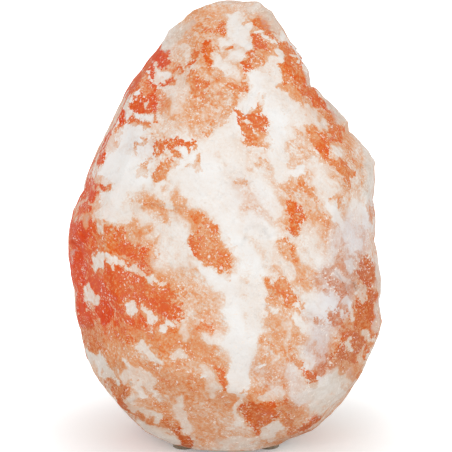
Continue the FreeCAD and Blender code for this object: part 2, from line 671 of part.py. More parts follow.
def bulb_inside():
    """The glass mount that closes the neck, its flattened top, the two leads and the filament."""
    seal = f"{NECK_RADIUS} - glass_wall - screw_clearance"
    waist = "pinch_thickness"
    flare = turned("stem_flare", (("0", GLASS_FOOT),
                                  (seal, GLASS_FOOT),
                                  (seal, f"{GLASS_FOOT} + glass_wall"),
                                  (waist, f"{GLASS_FOOT} + glass_tuck"),
                                  (waist, f"{STEM_TOP} - pinch_height"),
                                  ("0", f"{STEM_TOP} - pinch_height")))
    pinch = block("stem_pinch", "lead_spread + 4 * lead_radius", "pinch_thickness", "pinch_height",
                  z=f"{STEM_TOP} - pinch_height")
    piece("bulb_stem", joined("stem", flare, pinch))
    leads = [rod(f"lead_{side}", "lead_radius", "lead_height", x=f"{sign}lead_spread / 2", z=STEM_TOP)
             for side, sign in (("left", "-"), ("right", ""))]
    piece("lead_wires", group("leads", *leads))
    piece("filament", rod("filament_wire", "filament_radius", "lead_spread - 2 * lead_radius",
                          x="lead_radius - lead_spread / 2", z=f"{LEAD_TOP} - lead_radius", along="X"))


def bulb():
    bulb_foot()
    piece("bulb_glass", cut("glass", pear("glass_outside", "0"), pear("glass_inside", "glass_wall")))
    bulb_inside()


# --------------------------------------------------------------------------------------------- the lamp
crystal()
foot_pads()
holder_cap()
cord_inlet()
holder_sleeve()
contact_block()
screw_shell()
contact_strips()
terminals()
clip_band()
wings()
bulb()
doc.removeObject(gauge.Name)
doc.recompute()

for thing in doc.Objects:
    if {"Invalid", "Error"} & set(thing.State):
        raise RuntimeError(f"{thing.Label} failed: {thing.State}")
for node, thing in pieces.items():
    if thing.Shape.isNull() or not thing.Shape.isValid():
        raise RuntimeError(f"{node} has no valid shape")

os.makedirs("parts", exist_ok=True)
for node, thing in pieces.items():
    thing.Shape.exportStep(f"parts/{node}.step")
    box = thing.Shape.BoundBox
    print(f"{node:24} solids {len(thing.Shape.Solids)} volume {thing.Shape.Volume:11.1f}"
          f"  x {box.XMin:7.2f} {box.XMax:7.2f}  y {box.YMin:7.2f} {box.YMax:7.2f}"
          f"  z {box.ZMin:7.2f} {box.ZMax:7.2f}")
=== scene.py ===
"""Salt crystal lamp: a hewn block of orange and white rock salt over its small lamp holder."""
import math
import random

import bpy
import numpy as np
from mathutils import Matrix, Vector, kdtree, noise


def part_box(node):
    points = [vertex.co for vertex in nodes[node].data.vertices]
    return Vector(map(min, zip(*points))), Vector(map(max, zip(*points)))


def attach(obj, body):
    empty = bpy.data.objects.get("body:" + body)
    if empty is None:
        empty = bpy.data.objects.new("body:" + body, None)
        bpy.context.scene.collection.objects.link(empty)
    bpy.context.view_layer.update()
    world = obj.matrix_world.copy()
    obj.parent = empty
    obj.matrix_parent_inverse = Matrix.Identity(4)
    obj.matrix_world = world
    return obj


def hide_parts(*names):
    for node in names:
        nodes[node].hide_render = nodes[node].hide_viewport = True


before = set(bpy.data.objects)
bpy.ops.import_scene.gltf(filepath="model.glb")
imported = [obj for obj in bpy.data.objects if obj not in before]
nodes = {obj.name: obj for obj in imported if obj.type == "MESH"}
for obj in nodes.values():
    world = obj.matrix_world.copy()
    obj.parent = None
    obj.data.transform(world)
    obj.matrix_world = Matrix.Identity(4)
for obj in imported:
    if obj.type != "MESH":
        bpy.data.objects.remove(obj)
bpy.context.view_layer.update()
scene = bpy.context.scene
MM = 0.001

# ------------ the view
SENSOR = 36 * MM
LENS = 150                   # millimetres
CAMERA_RISE = math.radians(12)
VIEW_HEIGHT = 236.5 * MM     # what the square picture takes in at the lamp's axis
VIEW_CENTRE = Vector((0, 0, 113.4 * MM))
PICTURE = 452                # the photograph's width and height in pixels
PIXEL = VIEW_HEIGHT / PICTURE

camera_distance = VIEW_HEIGHT * LENS * MM / SENSOR
view_right = Vector((1, 0, 0))
view_up = Vector((0, math.sin(CAMERA_RISE), math.cos(CAMERA_RISE)))
view_back = view_right.cross(view_up)
camera_place = VIEW_CENTRE + view_back * camera_distance


def add_camera():
    camera = bpy.data.cameras.new("camera")
    camera.lens = LENS
    camera.sensor_width = SENSOR / MM
    camera.clip_start = 0.01
    holder = bpy.data.objects.new("camera", camera)
    holder.location = camera_place
    holder.rotation_euler = view_back.to_track_quat("Z", "Y").to_euler()
    scene.collection.objects.link(holder)
    scene.camera = holder


def seen(points):
    """Where the camera sees each point: pixels right of and below the photograph's top left corner."""
    away = points - np.array(camera_place)
    scale = camera_distance / -(away @ np.array(view_back)) / PIXEL
    across = PICTURE / 2 + away @ np.array(view_right) * scale
    down = PICTURE / 2 - away @ np.array(view_up) * scale
    return across, down


# ------------ materials
class Nodes:
    """A short way to write a material's node tree."""

    def __init__(self, name):
        self.material = bpy.data.materials.new(name)
        self.material.use_nodes = True
        self.tree = self.material.node_tree
        self.shader = self.tree.nodes["Principled BSDF"]
        self.place = self.add("ShaderNodeTexCoord").outputs["Object"]

    def add(self, kind, **settings):
        node = self.tree.nodes.new(kind)
        for key, value in settings.items():
            setattr(node, key, value)
        return node

    def join(self, source, socket):
        if isinstance(source, bpy.types.NodeSocket):
            self.tree.links.new(source, socket)
        else:
            socket.default_value = source

    def grain(self, size, detail=4.0, roughness=0.55, warp=0.0, place=None):
        """Noise from 0 to 1 with lumps about size metres across."""
        node = self.add("ShaderNodeTexNoise")
        self.join(place or self.place, node.inputs["Vector"])
        node.inputs["Scale"].default_value = 1 / size
        node.inputs["Detail"].default_value = detail
        node.inputs["Roughness"].default_value = roughness
        node.inputs["Distortion"].default_value = warp
        return node.outputs["Fac"]

    def cells(self, size):
        """How far each place is from the middle of its cell, with cells about size metres across."""
        node = self.add("ShaderNodeTexVoronoi")
        self.join(self.place, node.inputs["Vector"])
        node.inputs["Scale"].default_value = 1 / size
        return node.outputs["Distance"]

    def stretched(self, *scale, tilt=0.0):
        """The place squeezed along each axis, after a turn of tilt radians about the front-to-back axis."""
        turn = self.add("ShaderNodeVectorRotate", rotation_type="Y_AXIS")
        self.join(self.place, turn.inputs["Vector"])
        turn.inputs["Angle"].default_value = tilt
        node = self.add("ShaderNodeMapping")
        self.join(turn.outputs["Vector"], node.inputs["Vector"])
        node.inputs["Scale"].default_value = scale
        return node.outputs["Vector"]

    def painted(self, name):
        """A value that the mesh carries at each point."""
        return self.add("ShaderNodeAttribute", attribute_name=name).outputs["Fac"]

    def maths(self, operation, *values, clamp=False):
        node = self.add("ShaderNodeMath", operation=operation, use_clamp=clamp)
        for value, socket in zip(values, node.inputs):
            self.join(value, socket)
        return node.outputs[0]

    def plus(self, first, second):
        return self.maths("ADD", first, second)

    def times(self, first, second):
        return self.maths("MULTIPLY", first, second)

    def middle(self, value):
        """A noise from 0 to 1 carried to -0.5 to 0.5."""
        return self.maths("SUBTRACT", value, 0.5)

    def spread(self, value, low, high, to_low=0.0, to_high=1.0):
        """The value carried from low..high to to_low..to_high, and held there outside."""
        node = self.add("ShaderNodeMapRange", interpolation_type="SMOOTHSTEP")
        for source, key in ((value, "Value"), (low, "From Min"), (high, "From Max"),
                            (to_low, "To Min"), (to_high, "To Max")):
            self.join(source, node.inputs[key])
        return node.outputs["Result"]

    def blend(self, amount, first, second):
        node = self.add("ShaderNodeMix", data_type="RGBA")
        self.join(amount, node.inputs["Factor"])
        self.join(first, node.inputs["A"])
        self.join(second, node.inputs["B"])
        return node.outputs["Result"]

    def ramp(self, value, *stops):
        node = self.add("ShaderNodeValToRGB")
        self.join(value, node.inputs["Fac"])
        ramp = node.color_ramp
        while len(ramp.elements) < len(stops):
            ramp.elements.new(0.5)
        for element, (at, colour) in zip(ramp.elements, stops):
            element.position = at
            element.color = colour
        return node.outputs["Color"]

    def bump(self, height, depth, strength=1.0, under=None):
        node = self.add("ShaderNodeBump")
        node.inputs["Distance"].default_value = depth
        node.inputs["Strength"].default_value = strength
        self.join(height, node.inputs["Height"])
        if under is not None:
            self.join(under, node.inputs["Normal"])
        return node.outputs["Normal"]

    def finish(self, **sockets):
        for key, value in sockets.items():
            self.join(value, self.shader.inputs[key.replace("_", " ")])
        return self.material


def srgb(red, green, blue):
    """A colour as a photograph gives it, 0 to 255, as the shader wants it."""
    return tuple(((part / 255 + 0.055) / 1.055) ** 2.4 if part > 10 else part / 3294.6
                 for part in (red, green, blue)) + (1.0,)


# ------------ the salt block
VOXEL = 1.35 * MM
BORE_RADIUS = 23 * MM
BORE_TOP = 121 * MM
CHANNEL_HALF = 6 * MM
CHANNEL_TOP = 14 * MM
FLAT_EDGE = 4 * MM
SITE_GAP = 19 * MM           # between the places where the hewn faces are struck
SITE_TRIES = 6000
SITE_TILT = 0.045            # how unevenly the hewn faces are turned
SITE_DEPTH = 0.6 * MM        # how unevenly deep they lie
NEAR_SITES = 12
RELAX_ROUNDS = 24
HEW_SHARE = 0.8              # how far the skin goes to the hewn faces
HEW_LIFT = 0.6 * MM
HEW_DEEPEST = -2 * MM
HEW_HIGHEST = 1.8 * MM
ROUGHNESS = ((0.45 * MM, 14 * MM, 3.1), (0.22 * MM, 4.5 * MM, 8.4))    # height, size and noise's place
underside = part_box("foot_pad_front_left")[1].z


def lumps(points, size, octaves=3, shift=0.0):
    """Smooth noise of about -1 to 1 at each point, with lumps about size metres across."""
    move = Vector((shift, 1.7 * shift, -2.3 * shift))
    return np.array([noise.fractal(Vector(p) + move, 1.0, 2.0, octaves) for p in points / size])


def smooth(value, low, high):
    """0 below low, 1 above high, and an even curve between."""
    part = np.clip((value - low) / (high - low), 0, 1)
    return part * part * (3 - 2 * part)


def raw_block():
    """The CAD block with a fine even skin that can be carved."""
    block = bpy.data.objects.new("rough_block", nodes["salt_crystal"].data.copy())
    scene.collection.objects.link(block)
    skin = block.modifiers.new("skin", "REMESH")
    skin.mode = "VOXEL"
    skin.voxel_size = VOXEL
    made = block.evaluated_get(bpy.context.evaluated_depsgraph_get())
    mesh = bpy.data.meshes.new_from_object(made)
    bpy.data.objects.remove(block)
    return mesh


def read_vectors(items, key):
    """A mesh's places or normals, one to a row."""
    flat = np.empty(len(items) * 3)
    items.foreach_get(key, flat)
    return flat.reshape(-1, 3)


def free_skin(points):
    """1 where the block may be carved, 0 on its bore, its channel and its flat underside."""
    from_axis = np.hypot(points[:, 0], points[:, 1])
    bore = smooth(from_axis, BORE_RADIUS + 1 * MM, BORE_RADIUS + 4 * MM)
    bore = np.maximum(bore, smooth(points[:, 2], BORE_TOP + 1 * MM, BORE_TOP + 4 * MM))
    side = smooth(abs(points[:, 0]), CHANNEL_HALF + 1 * MM, CHANNEL_HALF + 3 * MM)
    above = smooth(points[:, 2], CHANNEL_TOP + 1 * MM, CHANNEL_TOP + 3 * MM)
    channel = np.maximum(np.maximum(side, above), points[:, 1] < 0)
    flat = smooth(points[:, 2], underside + 0.5 * MM, underside + FLAT_EDGE)
    return bore * channel * flat


def relaxed(mesh, points, free, rounds):
    """The points after each has moved, round by round, halfway to the middle of its neighbours."""
    ends = np.empty(len(mesh.edges) * 2, int)
    mesh.edges.foreach_get("vertices", ends)
    one, other = ends.reshape(-1, 2).T
    many = len(points)
    neighbours = np.bincount(ends, minlength=many)
    for _ in range(rounds):
        total = np.stack([np.bincount(one, points[other, axis], many)
                          + np.bincount(other, points[one, axis], many) for axis in range(3)], axis=1)
        points = points + 0.5 * free[:, None] * (total / neighbours[:, None] - points)
    return points


def facets(points, normals, free):
    """How far out the flat hewn faces lie, each one a plane struck near a place on the skin."""
    chance = random.Random(7)
    order = [i for i in range(len(points)) if free[i] > 0.9]
    chance.shuffle(order)
    sites = []
    for i in order[:SITE_TRIES]:
        if all(np.sum((points[i] - points[j]) ** 2) > SITE_GAP ** 2 for j in sites):
            sites.append(i)
    tree = kdtree.KDTree(len(sites))
    planes = []
    for at, i in enumerate(sites):
        tree.insert(points[i], at)
        facing = normals[i] + np.array([chance.gauss(0, SITE_TILT) for _ in range(3)])
        planes.append((points[i] + normals[i] * chance.uniform(-1, 1) * SITE_DEPTH,
                       facing / np.linalg.norm(facing)))
    tree.balance()
    out = np.empty(len(points))
    for i, (point, normal) in enumerate(zip(points, normals)):
        out[i] = min(np.dot(planes[at][0] - point, planes[at][1]) / max(np.dot(normal, planes[at][1]), 0.5)
                     for _, at, _ in tree.find_n(point, NEAR_SITES))
    return out


def towards_camera(points, normals):
    """1 where the skin faces the camera, 0 where it is edge on, and below 0 behind."""
    away = np.array(camera_place) - points
    return np.sum(normals * away, axis=1) / np.linalg.norm(away, axis=1)


def fitted(points, normals, free):
    """The points moved across the view so that the block's outline is the photograph's."""
    across, down = seen(points)
    out = np.stack([across, down], axis=1) - OUTLINE_MIDDLE
    reach = np.hypot(out[:, 0], out[:, 1])
    turn = np.arctan2(out[:, 1], out[:, 0])
    corners = np.array(OUTLINE) - OUTLINE_MIDDLE
    wanted = np.interp(turn, np.arctan2(corners[:, 1], corners[:, 0]), np.hypot(corners[:, 0], corners[:, 1]),
                       period=2 * math.pi)
    sector = ((turn + math.pi) / (2 * math.pi) * SECTORS).astype(int) % SECTORS
    edges = np.zeros(SECTORS)
    np.maximum.at(edges, sector, reach)
    edges = (np.roll(edges, 1) + 2 * edges + np.roll(edges, -1)) / 4
    middles = (np.arange(SECTORS) + 0.5) / SECTORS * 2 * math.pi - math.pi
    edge = np.interp(turn, middles, edges, period=2 * math.pi)
    edge_on = 1 - smooth(abs(towards_camera(points, normals)), 0.3, 0.8)
    share = free * smooth(reach / edge, 0.75, 1) * edge_on
    move = PIXEL * share * np.clip(wanted - edge, -OUTLINE_MOVE, OUTLINE_MOVE) / reach
    sideways = (move * out[:, 0])[:, None] * np.array(view_right)
    return points + sideways - (move * out[:, 1])[:, None] * np.array(view_up)


def carve(mesh):
    """Smooths the block, hews it, fits its outline and roughens it, and gives back its points."""
    points = read_vectors(mesh.vertices, "co")
    free = free_skin(points)
    low, high = (np.array(corner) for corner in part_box("salt_crystal"))
    for step in ("relax", "hew", "fit", "fit", "roughen"):
        normals = read_vectors(mesh.vertices, "normal")
        if step == "relax":
            points = relaxed(mesh, points, free, RELAX_ROUNDS)
        elif step == "hew":
            push = np.clip(HEW_SHARE * facets(points, normals, free) + HEW_LIFT, HEW_DEEPEST, HEW_HIGHEST)
            points = points + normals * (push * free)[:, None]
        elif step == "fit":
            points = fitted(points, normals, free)
        else:
            push = sum(height * lumps(points, size, 3, shift) for height, size, shift in ROUGHNESS)
            points = points + normals * (push * free)[:, None]
        points = np.clip(points, low, high)
        mesh.vertices.foreach_set("co", points.ravel())
        mesh.update()
    return points


# The block's outline in the photograph, clockwise from the top, in its pixels.
OUTLINE = (
    (218, 1), (236, 0), (257, 1), (272, 10), (292, 40), (309, 70), (312, 84), (324, 97), (338, 110),
    (348, 122), (350, 131), (367, 150), (375, 163), (375, 182), (373, 200), (375, 240), (379, 262),
    (382, 282), (380, 300), (382, 322), (377, 340), (363, 370), (345, 400), (325, 420), (312, 430),
    (287, 440), (263, 447), (235, 451), (200, 450), (173, 444), (143, 430), (114, 400), (98, 380),
    (85, 355), (80, 330), (75, 312), (74, 290), (69, 262), (69, 230), (73, 210), (83, 190), (93, 160),
    (102, 140), (112, 120), (121, 100), (128, 87), (140, 70), (155, 50), (169, 30), (181, 20), (193, 10),
)
OUTLINE_MIDDLE = np.array((226, 226))
OUTLINE_MOVE = 9             # the furthest that the skin is moved, in pixels
SECTORS = 240                # round the outline

# What the front of the block looks like, as strokes in the photograph's pixels: where a stroke starts and
# ends, half its width, and how strongly it shows, in percent.
BLUSH = {"crown": (
    (200, 22, 262, 30, 20, 42), (232, 3, 262, 8, 8, 22), (192, 45, 215, 60, 16, 45),
    (262, 45, 285, 75, 14, 50), (200, 85, 232, 70, 12, 42), (215, 100, 240, 85, 10, 38),
), "left shoulder": (
    (172, 70, 185, 95, 16, 35), (170, 105, 205, 118, 16, 38), (160, 130, 170, 170, 12, 22),
), "right shoulder": (
    (280, 85, 312, 112, 14, 50), (315, 125, 340, 140, 18, 45), (330, 150, 355, 165, 12, 32),
    (285, 165, 300, 200, 16, 35), (290, 210, 330, 235, 20, 38), (320, 165, 350, 190, 14, 25),
    (345, 210, 365, 245, 10, 28), (280, 255, 310, 280, 16, 40),
), "middle": (
    (205, 140, 250, 160, 14, 14), (185, 180, 225, 205, 12, 12), (235, 180, 250, 200, 10, 20),
    (245, 215, 262, 235, 10, 22), (132, 205, 160, 200, 12, 45), (128, 220, 150, 240, 12, 50),
    (172, 200, 200, 225, 12, 48), (205, 235, 222, 262, 12, 50), (165, 235, 175, 262, 14, 22),
    (185, 270, 210, 300, 16, 28), (195, 300, 215, 320, 14, 35),
), "left belly": (
    (80, 240, 150, 300, 35, 60), (100, 330, 190, 345, 22, 55), (120, 370, 200, 385, 22, 50),
    (150, 405, 210, 425, 18, 45), (200, 345, 220, 375, 14, 50),
), "right belly": (
    (340, 270, 370, 300, 18, 45), (350, 330, 372, 320, 14, 55), (325, 350, 350, 370, 16, 50),
    (300, 330, 320, 345, 12, 35), (260, 300, 285, 345, 20, 42), (262, 360, 290, 385, 16, 40),
), "bottom": (
    (225, 395, 290, 415, 20, 52), (200, 440, 280, 440, 8, 40), (300, 415, 330, 400, 12, 40),
)}
IRON = {"left shoulder": (
    (157, 53, 164, 62, 6, 100), (168, 52, 161, 61, 2.2, 85), (149, 66, 153, 72, 4.2, 95),
    (153, 74, 164, 83, 3.2, 100), (165, 83, 173, 80, 3, 95), (173, 79, 180, 68, 3.4, 75),
    (141, 80, 152, 96, 7, 62), (139, 79, 133, 92, 3.2, 95), (153, 84, 154, 97, 2.8, 85),
    (136, 99, 152, 100, 5, 90), (134, 107, 150, 110, 5, 92), (148, 103, 156, 104, 2, 85),
    (129, 121, 146, 124, 4.2, 75), (154, 113, 155, 120, 1.6, 75), (161, 93, 167, 104, 3.5, 60),
), "left edge": (
    (122, 112, 123, 124, 3, 95), (123, 122, 118, 134, 3, 65), (116, 134, 119, 127, 2, 50),
    (108, 138, 112, 147, 4.8, 98), (106, 146, 101, 162, 3.2, 92), (121, 140, 100, 169, 1, 55),
    (96, 183, 107, 186, 6.5, 95), (98, 186, 90, 206, 5.5, 100), (89, 188, 83, 198, 3.2, 85),
    (83, 208, 81, 214, 4.2, 75), (94, 205, 84, 222, 4.5, 100), (98, 205, 105, 205, 1.4, 50),
    (74, 226, 84, 232, 7, 98), (76, 236, 82, 262, 8.5, 100), (76, 262, 79, 320, 8, 100),
    (90, 224, 97, 230, 4.5, 92), (107, 228, 119, 230, 6, 90), (100, 236, 119, 241, 6.5, 80),
    (92, 246, 121, 249, 5.5, 78), (88, 252, 92, 262, 5, 90),
), "left belly": (
    (123, 250, 150, 259, 7.5, 90), (150, 262, 158, 267, 4, 60), (152, 251, 152, 260, 3.2, 85),
    (104, 262, 142, 276, 8, 92), (92, 268, 106, 280, 6.5, 85), (94, 284, 108, 296, 8, 100),
    (116, 281, 146, 294, 11, 95), (140, 272, 152, 284, 6, 70), (152, 286, 166, 288, 5.5, 80),
    (150, 294, 172, 296, 6.5, 92), (176, 290, 183, 293, 4, 65), (80, 306, 88, 322, 8.5, 100),
    (98, 296, 106, 314, 8.5, 100), (114, 298, 150, 306, 9, 92), (122, 312, 140, 322, 7, 90),
    (158, 300, 170, 312, 9, 100), (178, 311, 181, 318, 4, 88), (150, 318, 172, 326, 6, 78),
    (168, 296, 178, 302, 5, 75), (160, 264, 166, 276, 6, 42), (172, 276, 190, 286, 10, 30),
    (190, 264, 195, 270, 4, 35),
), "lower left": (
    (90, 330, 99, 352, 8.5, 74), (104, 334, 110, 346, 6, 55), (117, 328, 128, 336, 6.5, 82),
    (132, 330, 156, 342, 7.5, 62), (157, 335, 178, 350, 9.5, 60), (180, 340, 200, 350, 8, 38),
    (203, 325, 210, 331, 5, 62), (198, 346, 214, 354, 5.5, 42), (109, 352, 119, 359, 5, 62),
    (122, 352, 150, 366, 8.5, 50), (112, 362, 120, 370, 4, 50), (155, 362, 184, 374, 8.5, 52),
    (168, 384, 188, 400, 9.5, 60), (146, 388, 156, 398, 5, 52), (124, 370, 132, 378, 5, 50),
    (110, 380, 126, 392, 6.5, 80), (121, 401, 128, 408, 4.5, 98), (116, 392, 124, 402, 4, 80),
    (136, 412, 152, 420, 6, 74), (154, 420, 174, 428, 5.5, 72), (178, 432, 188, 442, 5.5, 98),
    (150, 398, 164, 408, 6, 45), (192, 410, 224, 436, 14, 30), (196, 390, 206, 400, 6, 40),
), "crown left": (
    (203, 14, 192, 28, 3.6, 50), (194, 26, 200, 31, 5, 66), (188, 32, 180, 46, 2.8, 42),
    (181, 42, 181, 54, 2.4, 52), (186, 40, 192, 37, 3.2, 30), (206, 46, 211, 60, 5, 95),
    (214, 31, 223, 25, 3.8, 82), (212, 37, 221, 37, 3, 42), (211, 47, 232, 48, 1.2, 80),
    (220, 52, 226, 50, 2, 40), (196, 54, 189, 65, 3, 88), (187, 66, 186, 72, 2, 45),
    (199, 66, 201, 72, 3, 40), (208, 60, 207, 66, 2.4, 40), (196, 72, 206, 76, 4, 30),
    (193, 80, 199, 91, 7.5, 70), (197, 80, 203, 84, 4, 85), (207, 98, 215, 103, 5.5, 58),
    (192, 100, 198, 106, 4, 55), (176, 107, 190, 112, 5, 34), (207, 133, 215, 124, 3.2, 62),
), "crown right": (
    (221, 18, 229, 17, 4, 50), (221, 27, 223, 33, 3, 85), (244, 17, 262, 22, 5.5, 60),
    (256, 22, 266, 27, 4.5, 85), (253, 38, 262, 44, 6.5, 95), (266, 32, 273, 35, 3.4, 85),
    (273, 38, 281, 46, 3, 85), (265, 44, 275, 52, 5, 68), (246, 58, 255, 52, 3.8, 92),
    (245, 62, 248, 68, 4, 95), (257, 64, 264, 68, 5.5, 75), (251, 66, 262, 58, 4, 70),
    (232, 77, 244, 76, 3.6, 62), (245, 78, 243, 90, 3.8, 78), (230, 86, 240, 91, 3.8, 72),
    (223, 92, 231, 86, 3, 50), (238, 92, 232, 110, 3, 62), (229, 96, 224, 120, 4.5, 42),
    (222, 120, 229, 111, 3.6, 50), (262, 96, 259, 109, 2.8, 72), (259, 108, 254, 113, 2.6, 70),
    (240, 114, 243, 128, 3.2, 85), (251, 118, 261, 124, 6.5, 92), (246, 128, 252, 138, 5.5, 82),
    (257, 132, 266, 144, 6, 62), (248, 142, 268, 144, 3.6, 70),
), "right band": (
    (282, 46, 291, 56, 4.6, 85), (290, 50, 297, 62, 4.5, 82), (287, 60, 292, 72, 4.2, 88),
    (278, 64, 286, 78, 4.6, 78), (294, 66, 304, 80, 5.5, 75), (298, 78, 309, 94, 6, 88),
    (306, 88, 314, 100, 5, 85), (313, 97, 322, 107, 5.5, 100), (322, 106, 328, 116, 3.4, 60),
    (290, 84, 300, 96, 3, 50), (304, 100, 312, 108, 3.4, 60), (330, 116, 336, 132, 5.8, 85),
    (340, 128, 337, 138, 4, 85), (310, 128, 318, 140, 5, 68), (319, 130, 326, 141, 5, 88),
    (322, 142, 326, 158, 4.8, 92), (292, 113, 306, 124, 6.5, 40), (290, 132, 304, 140, 6, 34),
), "right shoulder": (
    (322, 161, 342, 163, 4, 74), (346, 146, 350, 160, 3.6, 62), (356, 148, 362, 160, 5, 38),
    (340, 168, 351, 173, 4.2, 74), (347, 176, 347, 186, 3, 74), (345, 190, 337, 196, 4, 55),
    (333, 200, 339, 204, 3.8, 66), (292, 148, 310, 160, 8, 36), (300, 178, 303, 187, 4.4, 70),
    (300, 164, 303, 168, 2.6, 45), (302, 171, 306, 176, 2.6, 45), (307, 188, 310, 193, 2.8, 65),
    (312, 192, 317, 200, 3, 60), (290, 188, 294, 191, 3.4, 38), (292, 206, 300, 218, 5.5, 92),
    (296, 218, 295, 232, 4.6, 90), (286, 206, 287, 224, 3.4, 50), (304, 217, 324, 218, 5, 56),
    (325, 216, 328, 223, 3.6, 64), (277, 243, 289, 242, 2.6, 62), (293, 250, 297, 258, 3.6, 74),
    (298, 246, 306, 258, 5.5, 42), (301, 262, 307, 266, 3.2, 50), (311, 269, 318, 271, 2.6, 45),
    (288, 277, 295, 276, 3, 50), (362, 178, 366, 190, 2.6, 42),
), "middle": (
    (161, 143, 157, 153, 4.4, 88), (166, 142, 178, 156, 3.6, 88), (173, 141, 186, 144, 3.4, 92),
    (186, 145, 196, 143, 2.4, 88), (193, 141, 196, 148, 2.4, 88), (188, 150, 184, 156, 2, 80),
    (197, 157, 198, 166, 2.8, 72), (186, 166, 198, 168, 3.4, 64), (166, 163, 158, 177, 4.8, 70),
    (144, 167, 142, 174, 4.4, 52), (126, 151, 137, 154, 2.8, 46), (136, 146, 146, 142, 2.4, 46),
    (146, 162, 157, 158, 3.4, 42), (153, 135, 156, 139, 2, 50), (142, 136, 147, 142, 2.4, 50),
    (260, 162, 266, 166, 4, 34), (237, 180, 245, 181, 3, 50), (240, 192, 260, 206, 10, 26),
    (243, 207, 260, 209, 3.4, 40), (176, 195, 188, 214, 4.5, 60), (167, 197, 174, 204, 5, 42),
    (163, 209, 168, 221, 3.2, 64), (152, 194, 158, 198, 3, 55), (146, 200, 162, 208, 6, 34),
    (131, 194, 124, 208, 3.2, 70), (124, 209, 127, 221, 3.2, 70), (136, 193, 140, 198, 2.6, 50),
    (127, 226, 146, 238, 9, 48), (148, 212, 160, 228, 7, 26), (182, 212, 196, 226, 6.5, 48),
    (197, 218, 212, 226, 5.5, 78), (192, 238, 198, 250, 5.5, 90), (200, 236, 226, 246, 7.5, 68),
    (203, 250, 225, 254, 7, 72), (207, 260, 226, 262, 6.5, 74), (219, 264, 226, 276, 4.5, 86),
    (224, 244, 230, 252, 4, 70), (242, 258, 248, 266, 5, 26), (243, 280, 248, 283, 3, 36),
), "lower middle": (
    (266, 282, 272, 292, 4.8, 78), (270, 290, 276, 296, 3.4, 70), (281, 284, 290, 296, 5.6, 68),
    (284, 294, 287, 304, 4.4, 72), (260, 306, 274, 315, 6, 46), (274, 306, 294, 314, 6, 52),
    (302, 302, 304, 309, 2, 55), (264, 340, 271, 346, 4.4, 52), (286, 352, 292, 359, 5, 64),
    (288, 334, 300, 345, 7, 50), (293, 360, 300, 366, 3.6, 62), (282, 368, 284, 392, 3.2, 45),
    (252, 366, 278, 386, 9, 42), (282, 402, 285, 403, 2.4, 85), (221, 372, 226, 388, 3.8, 90),
    (208, 393, 210, 402, 3.4, 64), (214, 396, 254, 399, 7, 52), (248, 408, 272, 412, 7.5, 95),
    (252, 416, 262, 432, 6, 96), (266, 418, 272, 420, 5, 80), (262, 441, 288, 442, 3, 60),
    (284, 416, 294, 432, 5.5, 74), (292, 404, 303, 418, 6, 58), (226, 408, 244, 430, 9, 34),
), "right belly": (
    (369, 204, 373, 224, 2.6, 40), (362, 228, 371, 236, 4.4, 56), (342, 248, 368, 262, 12, 34),
    (366, 264, 373, 282, 5.6, 88), (362, 274, 370, 283, 5, 98), (362, 290, 378, 298, 5, 90),
    (358, 251, 362, 258, 3.2, 55), (351, 265, 353, 268, 2.6, 66), (325, 272, 334, 282, 5, 56),
    (325, 291, 328, 294, 2.8, 62), (340, 286, 346, 300, 4.6, 70), (351, 282, 359, 291, 4.4, 52),
    (362, 298, 370, 316, 6.8, 94), (354, 314, 372, 330, 8, 84), (348, 336, 362, 348, 7.5, 92),
    (338, 352, 358, 358, 6.4, 88), (332, 314, 338, 320, 4.6, 72), (341, 304, 346, 310, 3.6, 60),
    (314, 319, 318, 321, 2.2, 60), (311, 327, 313, 329, 2, 55), (324, 322, 330, 326, 3, 35),
    (326, 347, 318, 366, 4.4, 68), (334, 340, 330, 352, 3.4, 50), (309, 374, 314, 384, 4.4, 95),
    (318, 372, 332, 368, 4.4, 76), (336, 360, 340, 364, 3.4, 70), (350, 374, 360, 376, 4.6, 74),
    (346, 386, 351, 391, 3.8, 88), (364, 352, 370, 342, 4, 70), (356, 366, 362, 362, 4, 60),
    (303, 429, 318, 417, 3.8, 98), (320, 412, 330, 408, 3, 40),
)}
